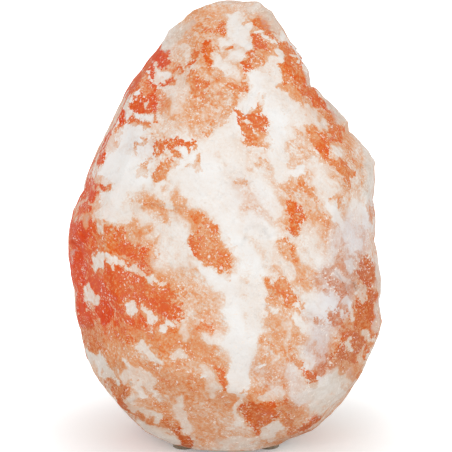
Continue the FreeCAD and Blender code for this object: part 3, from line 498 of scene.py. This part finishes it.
WHITE = {"flakes": (
    (155, 74, 167, 74, 3, 100), (157, 71, 159, 76, 3, 100), (134, 96, 138, 90, 2.2, 100),
    (143, 99, 146, 98, 1.6, 90), (149, 107, 150, 105, 1.5, 90), (138, 117, 150, 115, 2.8, 90),
    (163, 152, 164, 156, 2, 90), (178, 153, 185, 152, 3.2, 100), (176, 166, 183, 161, 3, 100),
    (173, 175, 180, 172, 3, 70), (190, 158, 195, 155, 3, 90), (97, 256, 99, 263, 4, 100),
    (107, 255, 116, 260, 3.4, 100), (108, 264, 111, 266, 2.6, 100), (92, 262, 96, 266, 2.6, 80),
    (94, 256, 120, 261, 1.8, 70), (120, 262, 137, 271, 2.2, 85), (137, 270, 151, 279, 2.6, 85),
    (150, 280, 167, 285, 2, 80), (143, 274, 148, 276, 3, 90), (85, 291, 93, 300, 4.4, 100),
    (128, 303, 134, 313, 3.4, 95), (144, 308, 150, 317, 4.6, 95), (158, 326, 162, 332, 3.4, 95),
    (164, 324, 171, 326, 2, 95), (183, 330, 187, 334, 4, 60), (179, 348, 183, 357, 3, 75),
    (88, 356, 100, 363, 4.4, 100), (106, 366, 114, 376, 5, 100), (124, 364, 133, 368, 3.4, 80),
    (143, 344, 150, 357, 4.6, 80), (154, 360, 163, 363, 3.6, 70), (130, 374, 150, 384, 7, 72),
    (136, 388, 144, 397, 4.2, 80), (130, 396, 134, 406, 4, 80), (156, 389, 161, 396, 3, 80),
    (142, 409, 160, 418, 3.4, 85), (178, 404, 187, 430, 4.6, 70), (143, 424, 172, 439, 4.4, 75),
    (200, 378, 201, 379, 1.4, 100), (186, 381, 187, 382, 1.4, 100), (206, 374, 216, 388, 6, 65),
    (98, 296, 99, 297, 1.2, 90), (89, 311, 90, 312, 1.4, 80), (84, 200, 90, 204, 2.4, 80),
    (86, 192, 90, 190, 1.8, 80), (80, 220, 92, 220, 4, 60), (101, 226, 101, 232, 3, 80),
), "crown": (
    (234, 20, 246, 46, 6.5, 100), (238, 18, 232, 30, 6, 90), (246, 28, 248, 44, 3.5, 90),
    (224, 44, 232, 40, 4, 80), (257, 32, 265, 31, 2.4, 100), (264, 38, 272, 41, 3, 100),
    (277, 37, 282, 36, 2.6, 80), (277, 48, 281, 60, 3, 95), (215, 56, 228, 70, 6, 90),
    (226, 62, 232, 74, 6, 70), (232, 58, 238, 56, 4, 60), (292, 57, 295, 60, 2, 90),
    (262, 70, 272, 62, 4, 85), (272, 60, 276, 84, 5, 90), (262, 76, 246, 106, 5, 80),
    (256, 78, 300, 118, 9, 85), (270, 92, 284, 130, 8, 80), (238, 76, 241, 79, 2, 80),
    (245, 118, 246, 123, 1.8, 95), (257, 4, 250, 16, 5, 50), (314, 116, 324, 126, 5.5, 75),
    (296, 120, 304, 136, 2.4, 55), (178, 80, 186, 98, 5, 50), (170, 88, 178, 110, 6, 55),
    (180, 46, 189, 56, 4, 60),
), "left flank": (
    (112, 140, 130, 134, 5, 85), (112, 148, 108, 178, 7, 95), (122, 160, 130, 190, 11, 90),
    (128, 178, 118, 214, 10, 90), (100, 206, 116, 218, 8, 85), (112, 200, 100, 212, 6, 70),
    (110, 224, 104, 220, 3, 50), (140, 178, 156, 190, 7, 70), (158, 186, 164, 196, 4, 80),
    (166, 190, 172, 206, 3.4, 80), (136, 208, 142, 220, 6, 72), (128, 128, 150, 130, 4, 60),
    (92, 172, 96, 180, 3.4, 70), (104, 174, 100, 182, 3, 80), (100, 192, 104, 198, 4, 75),
), "middle": (
    (176, 178, 214, 164, 9, 75), (198, 176, 230, 200, 12, 80), (184, 190, 210, 206, 8, 75),
    (214, 202, 240, 220, 9, 70), (206, 150, 222, 132, 8, 60), (226, 134, 236, 170, 8, 60),
    (176, 226, 160, 262, 9, 62), (158, 228, 150, 240, 4, 60), (182, 228, 184, 262, 5, 60),
    (172, 262, 196, 262, 5, 50), (205, 268, 226, 282, 5.5, 100), (218, 284, 244, 300, 8, 85),
    (226, 226, 236, 240, 6, 60), (232, 240, 252, 262, 9, 90), (252, 224, 270, 236, 8, 90),
    (258, 186, 276, 214, 7, 75), (272, 144, 286, 176, 8, 90), (290, 170, 300, 172, 4, 95),
    (252, 290, 258, 322, 9, 90), (240, 300, 238, 340, 10, 95), (244, 340, 240, 388, 8.5, 100),
    (256, 262, 262, 290, 7, 85), (266, 236, 274, 262, 6, 70), (280, 262, 290, 272, 6, 70),
    (206, 338, 226, 344, 5, 80), (232, 280, 236, 300, 8, 80), (254, 330, 250, 352, 7, 90),
    (329, 206, 341, 230, 4.2, 90), (344, 228, 352, 246, 6, 75), (333, 144, 338, 151, 4, 80),
    (336, 232, 330, 262, 5, 60), (308, 236, 316, 262, 9, 62), (316, 168, 334, 188, 9, 62),
    (270, 306, 278, 311, 3.4, 85), (294, 318, 299, 330, 3.4, 85), (263, 368, 271, 361, 3, 100),
    (240, 398, 238, 420, 3.4, 70), (264, 434, 280, 428, 5, 90), (263, 396, 280, 394, 4, 60),
    (290, 372, 302, 398, 7.5, 62), (226, 444, 252, 442, 5.5, 70), (347, 302, 354, 316, 4.4, 90),
    (345, 344, 350, 345, 2.6, 95), (366, 333, 370, 340, 3, 80), (362, 352, 364, 366, 2.2, 70),
    (310, 296, 326, 308, 7, 70), (308, 330, 322, 344, 7, 70), (306, 352, 314, 362, 5, 60),
    (324, 296, 332, 300, 4, 70), (350, 261, 354, 270, 2.8, 80), (339, 274, 344, 280, 4, 70),
    (357, 294, 363, 292, 3, 80), (286, 322, 282, 344, 2.4, 50), (352, 210, 366, 238, 7, 60),
    (314, 388, 340, 386, 9, 80), (318, 406, 332, 392, 8, 75), (334, 374, 350, 384, 6, 60),
)}
CLEAR = {"rims": (
    (166, 47, 176, 34, 4.5, 90), (176, 34, 192, 20, 4, 90), (266, 12, 280, 28, 6, 85),
    (262, 18, 268, 26, 3.4, 40), (240, 6, 262, 10, 4, 50), (127, 99, 130, 117, 3.8, 90),
    (308, 71, 313, 84, 3.4, 100), (320, 96, 332, 104, 3, 90), (332, 104, 341, 120, 4.5, 100),
    (364, 150, 372, 166, 4.4, 70), (371, 166, 368, 200, 5.4, 95), (376, 273, 378, 285, 4.4, 100),
    (379, 308, 379, 330, 4.4, 100), (350, 128, 362, 146, 4, 60), (312, 404, 340, 380, 10, 80),
    (318, 412, 330, 404, 6, 80), (143, 428, 172, 440, 4, 70), (218, 444, 256, 446, 4.4, 60),
    (72, 252, 72, 262, 2.4, 60), (74, 216, 80, 222, 3.4, 60), (89, 358, 93, 364, 3.6, 50),
    (340, 384, 352, 372, 5, 60),
)}
RED = {"zones": (
    (160, 50, 152, 100, 13, 100), (150, 100, 132, 124, 10, 80), (122, 112, 100, 170, 12, 95),
    (98, 176, 84, 220, 14, 100), (80, 220, 82, 330, 16, 100), (96, 282, 108, 318, 14, 90),
    (106, 262, 132, 268, 13, 55), (122, 300, 150, 312, 12, 40), (122, 248, 152, 258, 9, 35),
    (176, 72, 166, 84, 6, 60), (128, 320, 150, 326, 8, 50), (206, 324, 210, 332, 7, 50),
)}
# The salt's mauve tint together with painted shade: the right flank and the right side of the middle ridge
# drawn darker and greyer.
MAUVE_AND_SHADE = {"zones": (
    (352, 236, 352, 270, 20, 80), (330, 276, 336, 300, 14, 90), (344, 290, 334, 320, 13, 90),
    (318, 320, 322, 366, 12, 90), (372, 206, 366, 232, 6, 60), (288, 372, 298, 400, 12, 45),
    (240, 186, 256, 210, 14, 25), (136, 146, 148, 150, 12, 35), (260, 368, 276, 388, 10, 35),
    (312, 372, 330, 370, 6, 40),
)}
# Painted shade: darker, browner colour along the lower edges, the rim of the underside and the right edge,
# where the block turns away from the light.
PAINTED_SHADE = {"zones": (
    (88, 334, 96, 356, 10, 60), (108, 372, 128, 408, 12, 90), (128, 408, 190, 442, 11, 85),
    (150, 380, 190, 402, 16, 40), (212, 396, 254, 402, 10, 45), (250, 408, 276, 432, 13, 60),
    (284, 408, 300, 434, 10, 60), (302, 430, 320, 416, 7, 90), (372, 262, 366, 300, 9, 55),
    (368, 300, 360, 332, 12, 70), (362, 336, 344, 360, 14, 80), (362, 366, 346, 392, 9, 70),
    (196, 412, 250, 444, 18, 35), (258, 440, 292, 440, 8, 60), (312, 380, 316, 386, 6, 70),
    (262, 14, 276, 28, 8, 20), (342, 168, 350, 186, 8, 30), (316, 60, 330, 120, 8, 20),
)}


WAVER = 3.0                  # how far the strokes' edges wander, in pixels
RAGGED_WAVER = 7             # the same for white crust and clear salt


def covered(across, down, groups, grow=1.0, soft=0.38):
    """How surely the strokes cover each place, 0 to 1, and how strongly the surest of them shows."""
    cover = np.zeros(len(across))
    depth = np.zeros(len(across))
    for x1, y1, x2, y2, width, percent in (stroke for group in groups.values() for stroke in group):
        amount = percent / 100
        run, fall = x2 - x1, y2 - y1
        along = np.clip(((across - x1) * run + (down - y1) * fall) / max(run * run + fall * fall, 0.01), 0, 1)
        gap = np.hypot(across - x1 - along * run, down - y1 - along * fall) / (width * grow)
        here = 1 - smooth(gap, 1 - soft, 1 + soft)
        surer = here * amount > cover * depth
        cover[surer] = here[surer]
        depth[surer] = amount
    return cover, depth


def paint(mesh, points):
    """Gives each point of the skin its share of iron, blush, white crust, clear salt, red, mauve that is
    partly painted shade, and painted shade on the lower and right edges.
    """
    normals = read_vectors(mesh.vertices, "normal")
    front = smooth(towards_camera(points, normals), 0.05, 0.25)
    across, down = seen(points)
    across = across + WAVER * lumps(points, 5 * MM, 3, 5.2)
    down = down + WAVER * lumps(points, 5 * MM, 3, 9.7)
    ragged_across = across + RAGGED_WAVER * lumps(points, 9 * MM, 4, 61.3)
    ragged_down = down + RAGGED_WAVER * lumps(points, 9 * MM, 4, 77.7)
    left = smooth(-points[:, 0], 5 * MM, 60 * MM)
    low = 1 - smooth(points[:, 2], 20 * MM, 90 * MM)
    islands = lumps(points, 24 * MM, 4, 14.2)
    crust = lumps(points, 30 * MM, 4, 27.5)
    mottle = lumps(points, 12 * MM, 4, 19.0)
    wild = {
        "iron": smooth(islands + 0.3 * left, 0.02, 0.34),
        "iron_depth": np.clip(0.75 + 0.25 * mottle + 0.2 * left, 0, 1),
        "blush": 0.3 + 0.15 * mottle + 0.2 * low,
        "white": smooth(crust - 0.3 * left, 0.12, 0.4),
        "white_depth": 0.8,
        "clear": 0.6 * smooth(lumps(points, 34 * MM, 3, 41.1) - 0.4 * left, 0.15, 0.4),
        "red": left * smooth(points[:, 2], 30 * MM, 70 * MM),
        "mauve_and_shade": 0.5 * smooth(lumps(points, 40 * MM, 2, 33.3) - 0.4 * left, 0.0, 0.5),
        # painted shade, darker towards the bottom on the sides and back
        "painted_shade": 0.8 * low,
    }
    iron, iron_depth = covered(across, down, IRON, 1.1, 0.75)
    white, white_depth = covered(ragged_across, ragged_down, WHITE, 1.05, 0.85)
    blush, blush_depth = covered(across, down, BLUSH, 1.1, 0.8)
    drawn = {"iron": iron, "iron_depth": iron_depth, "white": white, "white_depth": white_depth,
             "blush": 0.07 + 0.05 * mottle + blush * blush_depth}
    for name, groups in (("clear", CLEAR), ("red", RED), ("mauve_and_shade", MAUVE_AND_SHADE), ("painted_shade", PAINTED_SHADE)):
        cover, depth = covered(ragged_across, ragged_down, groups, 1.05, 0.85)
        drawn[name] = cover * depth
    for name in drawn:
        values = front * drawn[name] + (1 - front) * wild[name]
        mesh.attributes.new(name, "FLOAT", "POINT").data.foreach_set("value", values.astype(np.float32))


def stone_material():
    """Rock salt: iron and blush over white, cut by white crust, cracks, clear patches, chips and flecks, with
    painted shade in mauve and brown on its lower and right edges.
    """
    salt = Nodes("rock_salt_hewn")
    plus, times, middle = salt.plus, salt.times, salt.middle
    coarse = middle(salt.grain(4 * MM, 4, 0.65))
    fine = middle(salt.grain(1.3 * MM, 3, 0.75))
    broad = middle(salt.grain(11 * MM, 4, 0.6))
    drawn_out = middle(salt.grain(3 * MM, 4, 0.7, 0.4, place=salt.stretched(0.5, 1, 1.6, tilt=-0.7)))
    ragged = plus(plus(times(coarse, 1.5), times(fine, 1.6)), plus(times(broad, 1.0), times(drawn_out, 1.2)))
    speckle = plus(plus(times(coarse, 0.8), times(fine, 1.3)), times(drawn_out, 0.6))
    iron = salt.spread(plus(salt.painted("iron"), ragged), 0.4, 0.62)
    depth = salt.maths("SUBTRACT", times(salt.painted("iron_depth"), 1.03), 0.07)
    iron = times(iron, plus(depth, speckle))
    cloud = middle(salt.grain(9 * MM, 6, 0.65, 1.5))
    veil = salt.spread(plus(cloud, times(drawn_out, 0.7)), -0.02, 0.3, 0.0, 0.2)
    blush = salt.maths("MAXIMUM", salt.painted("blush"), 0.0)
    blush = plus(blush, times(speckle, salt.spread(blush, 0.05, 0.4, 0.2, 0.75)))
    blush = plus(blush, veil)
    white = salt.spread(plus(salt.painted("white"), ragged), 0.3, 0.7)
    white = times(white, plus(times(salt.painted("white_depth"), 0.95), times(cloud, 0.7)))
    lines = salt.maths("ABSOLUTE", middle(salt.grain(15 * MM, 5, 0.55, 1.2)))
    cracks = times(salt.spread(lines, 0.002, 0.014, 1.0, 0.0), salt.spread(cloud, -0.05, 0.1))
    white = salt.maths("MAXIMUM", white, times(cracks, 0.55))
    amount = salt.maths("MULTIPLY", salt.maths("MAXIMUM", iron, blush),
                        salt.maths("SUBTRACT", 1.0, times(white, 0.9)), clamp=True)
    colour = salt.ramp(amount, (0.0, srgb(247, 245, 243)), (0.15, srgb(241, 229, 219)),
                       (0.3, srgb(235, 203, 181)), (0.45, srgb(232, 178, 140)), (0.6, srgb(229, 152, 99)),
                       (0.75, srgb(227, 126, 61)), (0.9, srgb(226, 101, 28)), (1.0, srgb(224, 88, 13)))
    reds = salt.ramp(amount, (0.0, srgb(247, 242, 239)), (0.15, srgb(241, 219, 206)),
                     (0.3, srgb(236, 188, 160)), (0.45, srgb(235, 156, 112)), (0.6, srgb(233, 127, 71)),
                     (0.75, srgb(230, 90, 26)), (0.9, srgb(227, 72, 10)), (1.0, srgb(222, 62, 6)))
    # Mauve tint with painted shade: the ramp made darker and greyer.
    mauve_and_shade_colours = salt.ramp(amount, (0.0, srgb(233, 229, 231)), (0.2, srgb(223, 205, 200)),
                      (0.4, srgb(214, 175, 160)), (0.6, srgb(206, 143, 117)),
                      (0.8, srgb(197, 111, 75)), (1.0, srgb(186, 84, 46)))
    # Painted shade: the same ramp made darker and browner.
    painted_shade_colours = salt.ramp(amount, (0.0, srgb(225, 214, 203)), (0.2, srgb(220, 194, 174)),
                       (0.4, srgb(216, 169, 137)), (0.6, srgb(210, 141, 96)),
                       (0.8, srgb(200, 109, 55)), (1.0, srgb(186, 83, 29)))
    colour = salt.blend(salt.painted("red"), colour, reds)
    colour = salt.blend(salt.painted("mauve_and_shade"), colour, mauve_and_shade_colours)
    colour = salt.blend(salt.painted("painted_shade"), colour, painted_shade_colours)
    clear = salt.spread(plus(salt.painted("clear"), times(ragged, 0.8)), 0.2, 0.9)
    haze = salt.ramp(salt.grain(6 * MM, 5, 0.65, 1.0), (0.3, srgb(206, 190, 174)), (0.5, srgb(222, 212, 201)),
                     (0.7, srgb(236, 230, 223)))
    colour = salt.blend(times(clear, 0.62), colour, haze)
    shade = salt.spread(salt.grain(18 * MM, 5, 0.6, 0.8), 0.35, 0.65, 0.0, 0.13)
    colour = salt.blend(shade, colour, srgb(206, 176, 152))
    chips = salt.spread(salt.grain(1.5 * MM, 2, 0.5), 0.62, 0.67)
    flecks = salt.spread(salt.grain(0.8 * MM, 2, 0.5), 0.62, 0.68)
    patchy = salt.spread(salt.grain(8 * MM, 3), 0.45, 0.55)
    chips = times(salt.maths("MAXIMUM", chips, flecks), times(patchy, 0.8))
    colour = salt.blend(chips, colour, srgb(248, 236, 226))
    rough = salt.bump(salt.grain(3.5 * MM, 4), 0.5 * MM, 0.6)
    rough = salt.bump(salt.grain(0.9 * MM, 3), 0.25 * MM, 0.5, under=rough)
    rough = salt.bump(cracks, 0.3 * MM, 0.5, under=rough)
    return salt.finish(Base_Color=colour, Roughness=0.7, Specular_IOR_Level=0.15, Normal=rough)


def salt_block():
    """The carved and painted stone, in the place of the CAD crystal."""
    mesh = raw_block()
    paint(mesh, carve(mesh))
    block = bpy.data.objects.new("salt_block", mesh)
    scene.collection.objects.link(block)
    mesh.materials.clear()
    mesh.materials.append(stone_material())
    for face in mesh.polygons:
        face.use_smooth = True
    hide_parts("salt_crystal")
    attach(block, "stone")


# ------------ the holder and its lamp
THREAD_PITCH = 2.82 * MM
THREAD_DEPTH = 0.7 * MM
THREAD_GAP = 0.12 * MM
CAP_FLARE = 0.9 * MM
SHELL_HOLE = 5.4 * MM
ROUND = 96                   # points round a turned piece


def added(name, node, body, slot, points, faces, material):
    """A piece of the scene that stands for a CAD node."""
    mesh = bpy.data.meshes.new(name)
    mesh.from_pydata([tuple(point) for point in points], [], faces)
    mesh.validate()
    piece = bpy.data.objects.new(name, mesh)
    scene.collection.objects.link(piece)
    mesh.materials.append(material)
    for face in mesh.polygons:
        face.use_smooth = True
    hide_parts(node)
    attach(piece, body)
    return piece


def turned(profile, centre=(0, 0), swell=None):
    """Points and faces of a closed outline of (radius, height) turned about an upright axis.

    swell gives how far out a point of the outline moves at each angle.
    """
    points, faces = [], []
    many = len(profile)
    for step in range(ROUND):
        angle = 2 * math.pi * step / ROUND
        for radius, height in profile:
            reach = radius + (swell(angle, height) if swell else 0)
            points.append((centre[0] + reach * math.cos(angle), centre[1] + reach * math.sin(angle), height))
        after = (step + 1) % ROUND
        for i in range(many):
            j = (i + 1) % many
            faces.append((step * many + i, after * many + i, after * many + j, step * many + j))
    return points, faces


def heights(low, high, step):
    """Evenly spaced heights from low to high."""
    count = max(1, round((high - low) / step))
    return [low + (high - low) * i / count for i in range(count + 1)]


def thread(low, high):
    """How far a right-handed rolled thread dips at an angle and a height, fading out at its two ends."""
    def dip(angle, height):
        if not low < height < high:
            return 0.0
        fade = min(1, (height - low) / THREAD_PITCH, (high - height) / THREAD_PITCH)
        wave = 0.5 - 0.5 * math.cos(2 * math.pi * height / THREAD_PITCH - angle)
        return -THREAD_DEPTH * fade * wave
    return dip


def bulb_cap(material):
    """The bulb's cap of rolled sheet: thread, turned-in foot and flared mouth."""
    low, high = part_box("bulb_cap")
    wall = 0.35 * MM
    outside = high.x - CAP_FLARE
    foot, mouth = low.z, high.z
    outer = [(outside - 1.6 * MM, foot), (outside - 0.9 * MM, foot), (outside - 0.3 * MM, foot + 0.25 * MM),
             (outside - 0.05 * MM, foot + 0.9 * MM)]
    outer += [(outside, height) for height in heights(foot + 1.3 * MM, mouth - 2.4 * MM, THREAD_PITCH / 12)]
    outer += [(outside + 0.15 * MM, mouth - 1.6 * MM), (outside + 0.5 * MM, mouth - 0.7 * MM)]
    outer += [(high.x, mouth)]
    inner = [(radius - wall, max(height, foot + wall)) for radius, height in reversed(outer[1:])]
    inner[0] = (high.x - wall, mouth)
    dip = thread(foot + 1.5 * MM, mouth - 3.4 * MM)
    return added("threaded_cap", "bulb_cap", "bulb", "cap_metal", *turned(outer + inner, swell=dip), material)


def screw_shell(material):
    """The holder's brass shell, whose thread follows the bulb's a small gap further out."""
    low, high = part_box("screw_shell")
    wall = 0.4 * MM
    cap_low, cap_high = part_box("bulb_cap")
    inside = cap_high.x - CAP_FLARE + THREAD_GAP
    inner = [(inside, height) for height in heights(low.z + wall, high.z, THREAD_PITCH / 12)]
    outer = [(inside + wall - THREAD_GAP / 2, height) for height in heights(low.z, high.z, THREAD_PITCH / 12)]
    profile = outer + inner[::-1] + [(SHELL_HOLE, low.z + wall), (SHELL_HOLE, low.z)]
    dip = thread(cap_low.z + 1.5 * MM, high.z + THREAD_PITCH)
    return added("threaded_shell", "screw_shell", "lamp_unit", "brass",
                 *turned(profile, swell=dip), material)


def coiled_filament(material):
    """The coiled wire between the two leads."""
    low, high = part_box("filament")
    middle = (low + high) / 2
    reach = (high.x - low.x) / 2 - 0.05 * MM
    coil, wire, turns, around, sides = 0.23 * MM, 0.06 * MM, 22, 14, 6
    points, faces = [], []
    steps = turns * around
    for step in range(steps + 1):
        share = step / steps
        angle = 2 * math.pi * step / around
        ring = Vector((middle.x + reach * (2 * share - 1), middle.y, middle.z))
        outward = Vector((0, math.cos(angle), math.sin(angle)))
        for side in range(sides):
            tilt = 2 * math.pi * side / sides
            sideways = Vector((wire * math.sin(tilt), 0, 0))
            points.append(ring + outward * (coil + wire * math.cos(tilt)) + sideways)
        if step:
            first, second = (step - 1) * sides, step * sides
            faces += [(first + i, first + (i + 1) % sides, second + (i + 1) % sides, second + i)
                      for i in range(sides)]
    faces.append(tuple(range(sides))[::-1])
    faces.append(tuple(steps * sides + i for i in range(sides)))
    return added("filament_coil", "filament", "bulb", "bulb_wire", points, faces, material)


def felt_pads(material):
    """Four punched felt discs with soft, slightly fuzzy edges."""
    for place in ("front_left", "front_right", "back_left", "back_right"):
        low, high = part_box(f"foot_pad_{place}")
        centre = ((low.x + high.x) / 2, (low.y + high.y) / 2)
        radius, thick = (high.x - low.x) / 2, high.z - low.z
        edge = 0.5 * MM
        profile = [(0.02 * MM, 0)] + [(radius * share, 0) for share in (0.2, 0.4, 0.6, 0.78, 0.9)]
        profile += [(radius - edge * (1 - math.sin(turn)), edge * (1 - math.cos(turn)))
                    for turn in (0.3, 0.75, 1.2, 1.5)]
        profile += [(radius, height) for height in heights(edge + 0.3 * MM, thick - 0.2 * MM, 0.35 * MM)]
        profile += [(radius - 0.1 * MM, thick), (0.02 * MM, thick)]
        points, faces = turned(profile, centre)
        points = np.array(points)
        fuzz = 0.05 * MM * (lumps(points, 1.1 * MM, 2, 3.3) - 1)
        out = points - np.array((*centre, thick / 2))
        out[:, 2] *= 0.3
        points += out / np.linalg.norm(out, axis=1)[:, None] * fuzz[:, None]
        points[:, 2] = np.clip(points[:, 2], 0, thick)
        added(f"felt_{place}", f"foot_pad_{place}", "stone", "felt", points, faces, material)


def felt_material():
    felt = Nodes("pressed_felt")
    fibres = felt.grain(0.5 * MM, 6, 0.8, 1.5)
    tufts = felt.grain(2.2 * MM, 3)
    colour = felt.ramp(fibres, (0.3, srgb(132, 118, 100)), (0.5, srgb(170, 156, 136)),
                       (0.7, srgb(198, 186, 168)))
    colour = felt.blend(felt.spread(tufts, 0.4, 0.65, 0, 0.35), colour, srgb(120, 104, 88))
    nap = felt.bump(fibres, 0.3 * MM, 0.9, under=felt.bump(tufts, 0.3 * MM, 0.5))
    return felt.finish(Base_Color=colour, Roughness=1.0, Sheen_Weight=0.5, Sheen_Roughness=0.4,
                       Specular_IOR_Level=0.1, Normal=nap)


def plastic_material():
    plastic = Nodes("moulded_plastic")
    skin = plastic.grain(0.7 * MM, 4, 0.6)
    flow = plastic.grain(16 * MM, 3, 0.5, 0.8)
    dust = plastic.spread(plastic.grain(5 * MM, 5, 0.7), 0.52, 0.75, 0.0, 0.35)
    colour = plastic.ramp(flow, (0.3, srgb(233, 230, 220)), (0.7, srgb(240, 238, 230)))
    colour = plastic.blend(dust, colour, srgb(222, 212, 200))
    return plastic.finish(Base_Color=colour, Roughness=plastic.spread(skin, 0.3, 0.7, 0.42, 0.56),
                          Specular_IOR_Level=0.45, Normal=plastic.bump(skin, 0.06 * MM, 0.35))


def ceramic_material():
    ceramic = Nodes("unglazed_ceramic")
    grit = ceramic.grain(0.4 * MM, 3, 0.7)
    specks = ceramic.spread(ceramic.cells(1.1 * MM), 0.16, 0.1, 0.0, 0.4)
    colour = ceramic.ramp(grit, (0.3, srgb(224, 219, 208)), (0.7, srgb(240, 236, 228)))
    colour = ceramic.blend(specks, colour, srgb(196, 186, 170))
    return ceramic.finish(Base_Color=colour, Roughness=0.75, Normal=ceramic.bump(grit, 0.08 * MM, 0.5))


def metal_material(name, dark, light, rough, streak=(1, 1, 1), tarnish=None):
    """A bare metal with fine marks drawn out along one way, and a little tarnish."""
    metal = Nodes(name)
    marks = metal.grain(0.35 * MM, 4, 0.65, place=metal.stretched(*streak))
    cloud = metal.grain(4 * MM, 4, 0.6)
    colour = metal.blend(metal.spread(marks, 0.3, 0.7), dark, light)
    if tarnish:
        colour = metal.blend(metal.spread(cloud, 0.5, 0.72, 0.0, 0.3), colour, tarnish)
    roughness = metal.maths("ADD", metal.spread(marks, 0.3, 0.7, rough + 0.06, rough - 0.06),
                            metal.spread(cloud, 0.4, 0.7, 0.0, 0.12))
    return metal.finish(Base_Color=colour, Metallic=1.0, Roughness=roughness,
                        Normal=metal.bump(marks, 0.02 * MM, 0.12))


def glass_material():
    glass = Nodes("clear_bulb_glass")
    ripple = glass.grain(9 * MM, 2)
    specks = glass.spread(glass.grain(1.3 * MM, 3, 0.7), 0.62, 0.8, 0.0, 0.12)
    return glass.finish(Base_Color=(0.92, 0.95, 0.95, 1.0), Roughness=specks, IOR=1.47,
                        Transmission_Weight=1.0, Normal=glass.bump(ripple, 0.15 * MM, 0.15))


def dark_glass_material():
    glass = Nodes("black_cap_glass")
    bubbles = glass.grain(0.8 * MM, 3)
    colour = glass.ramp(bubbles, (0.3, srgb(14, 13, 18)), (0.7, srgb(34, 32, 42)))
    return glass.finish(Base_Color=colour, Roughness=glass.spread(bubbles, 0.4, 0.7, 0.12, 0.3),
                        Normal=glass.bump(bubbles, 0.05 * MM, 0.3))


def dressed(material, *names):
    """Gives CAD nodes that keep their own shape a better material."""
    for name in names:
        slots = nodes[name].material_slots
        if not slots:
            nodes[name].data.materials.append(material)
        for place in nodes[name].material_slots:
            place.material = material


def holder_and_bulb():
    """The materials of the holder and bulb, and the finer pieces that stand for four kinds of CAD node."""
    brass = metal_material("worn_brass", srgb(186, 146, 74), srgb(226, 192, 116), 0.3, (1, 1, 8),
                           srgb(150, 112, 62))
    steel = metal_material("plated_steel", srgb(176, 176, 178), srgb(216, 216, 218), 0.28, (1, 1, 6),
                           srgb(150, 148, 144))
    spring = metal_material("spring_strip", srgb(178, 180, 184), srgb(206, 208, 212), 0.24, (1, 8, 1),
                            srgb(120, 116, 112))
    solder = metal_material("dull_solder", srgb(150, 150, 152), srgb(190, 190, 190), 0.48, (1, 1, 1),
                            srgb(112, 110, 108))
    rolled = metal_material("rolled_cap_metal", srgb(196, 194, 188), srgb(226, 224, 218), 0.3, (1, 1, 5),
                            srgb(168, 162, 150))
    wire = metal_material("bulb_wires", srgb(120, 120, 122), srgb(170, 170, 172), 0.35)
    glass = glass_material()
    dressed(plastic_material(), "holder_cap", "holder_sleeve", "cord_bush")
    dressed(ceramic_material(), "contact_block")
    dressed(brass, "shell_contact", "centre_contact", "terminal_post_left", "terminal_post_right")
    dressed(steel, "cord_grip_screw", "terminal_screws")
    dressed(spring, "clip_band", "wing_left", "wing_right")
    dressed(solder, "bulb_contact")
    dressed(dark_glass_material(), "bulb_insulator")
    dressed(glass, "bulb_glass", "bulb_stem")
    dressed(wire, "lead_wires")
    bulb_cap(rolled)
    screw_shell(brass)
    coiled_filament(wire)
    felt_pads(felt_material())


# ------------ the stage
KEY_POWER = 6
FILL_POWER = 4
ROOM_LIGHT = 0.76
FLOOR_REACH = 3.0
SHADOW_FROM = 60 * MM
SHADOW_TO = 190 * MM


def add_stage():
    """A pale floor that keeps the shadow near the lamp and is pure white further out."""
    mesh = bpy.data.meshes.new("floor")
    reach = FLOOR_REACH
    mesh.from_pydata([(-reach, -reach, 0), (reach, -reach, 0), (reach, reach, 0), (-reach, reach, 0)],
                     [], [(0, 1, 2, 3)])
    floor = bpy.data.objects.new("floor", mesh)
    scene.collection.objects.link(floor)
    paper = Nodes("floor_paper")
    from_lamp = paper.add("ShaderNodeVectorMath", operation="LENGTH")
    paper.join(paper.place, from_lamp.inputs[0])
    rays = paper.add("ShaderNodeLightPath").outputs
    clear_rays = paper.maths("MAXIMUM", rays["Is Camera Ray"],
                             paper.maths("MAXIMUM", rays["Is Glossy Ray"], rays["Is Transmission Ray"]))
    glow = paper.spread(from_lamp.outputs["Value"], SHADOW_FROM, SHADOW_TO, 0.25, 1.0)
    mesh.materials.append(paper.finish(Base_Color=srgb(240, 244, 245), Roughness=0.9,
                                       Emission_Color=(1.0, 1.0, 1.0, 1.0),
                                       Emission_Strength=paper.maths("MULTIPLY", glow, clear_rays)))


def add_light(name, place, size, power):
    light = bpy.data.lights.new(name, "AREA")
    light.shape = "DISK"
    light.size = size
    light.energy = power
    holder = bpy.data.objects.new(name, light)
    holder.location = place
    holder.rotation_euler = (Vector(place) - VIEW_CENTRE).to_track_quat("Z", "Y").to_euler()
    scene.collection.objects.link(holder)


def add_lights():
    add_light("key", (-0.5, -1.6, 1.0), 0.9, KEY_POWER)
    add_light("fill", (1.2, -1.3, 0.6), 1.0, FILL_POWER)
    world = bpy.data.worlds.new("studio")
    world.use_nodes = True
    tree = world.node_tree
    background = tree.nodes["Background"]
    background.inputs["Color"].default_value = (1, 1, 1, 1)
    rays = tree.nodes.new("ShaderNodeLightPath")
    strength = tree.nodes.new("ShaderNodeMapRange")
    strength.inputs["To Min"].default_value = ROOM_LIGHT
    strength.inputs["To Max"].default_value = 1.0
    tree.links.new(rays.outputs["Is Camera Ray"], strength.inputs["Value"])
    tree.links.new(strength.outputs["Result"], background.inputs["Strength"])
    scene.world = world


scene.view_settings.view_transform = "Standard"
add_camera()
salt_block()
holder_and_bulb()
add_stage()
add_lights()
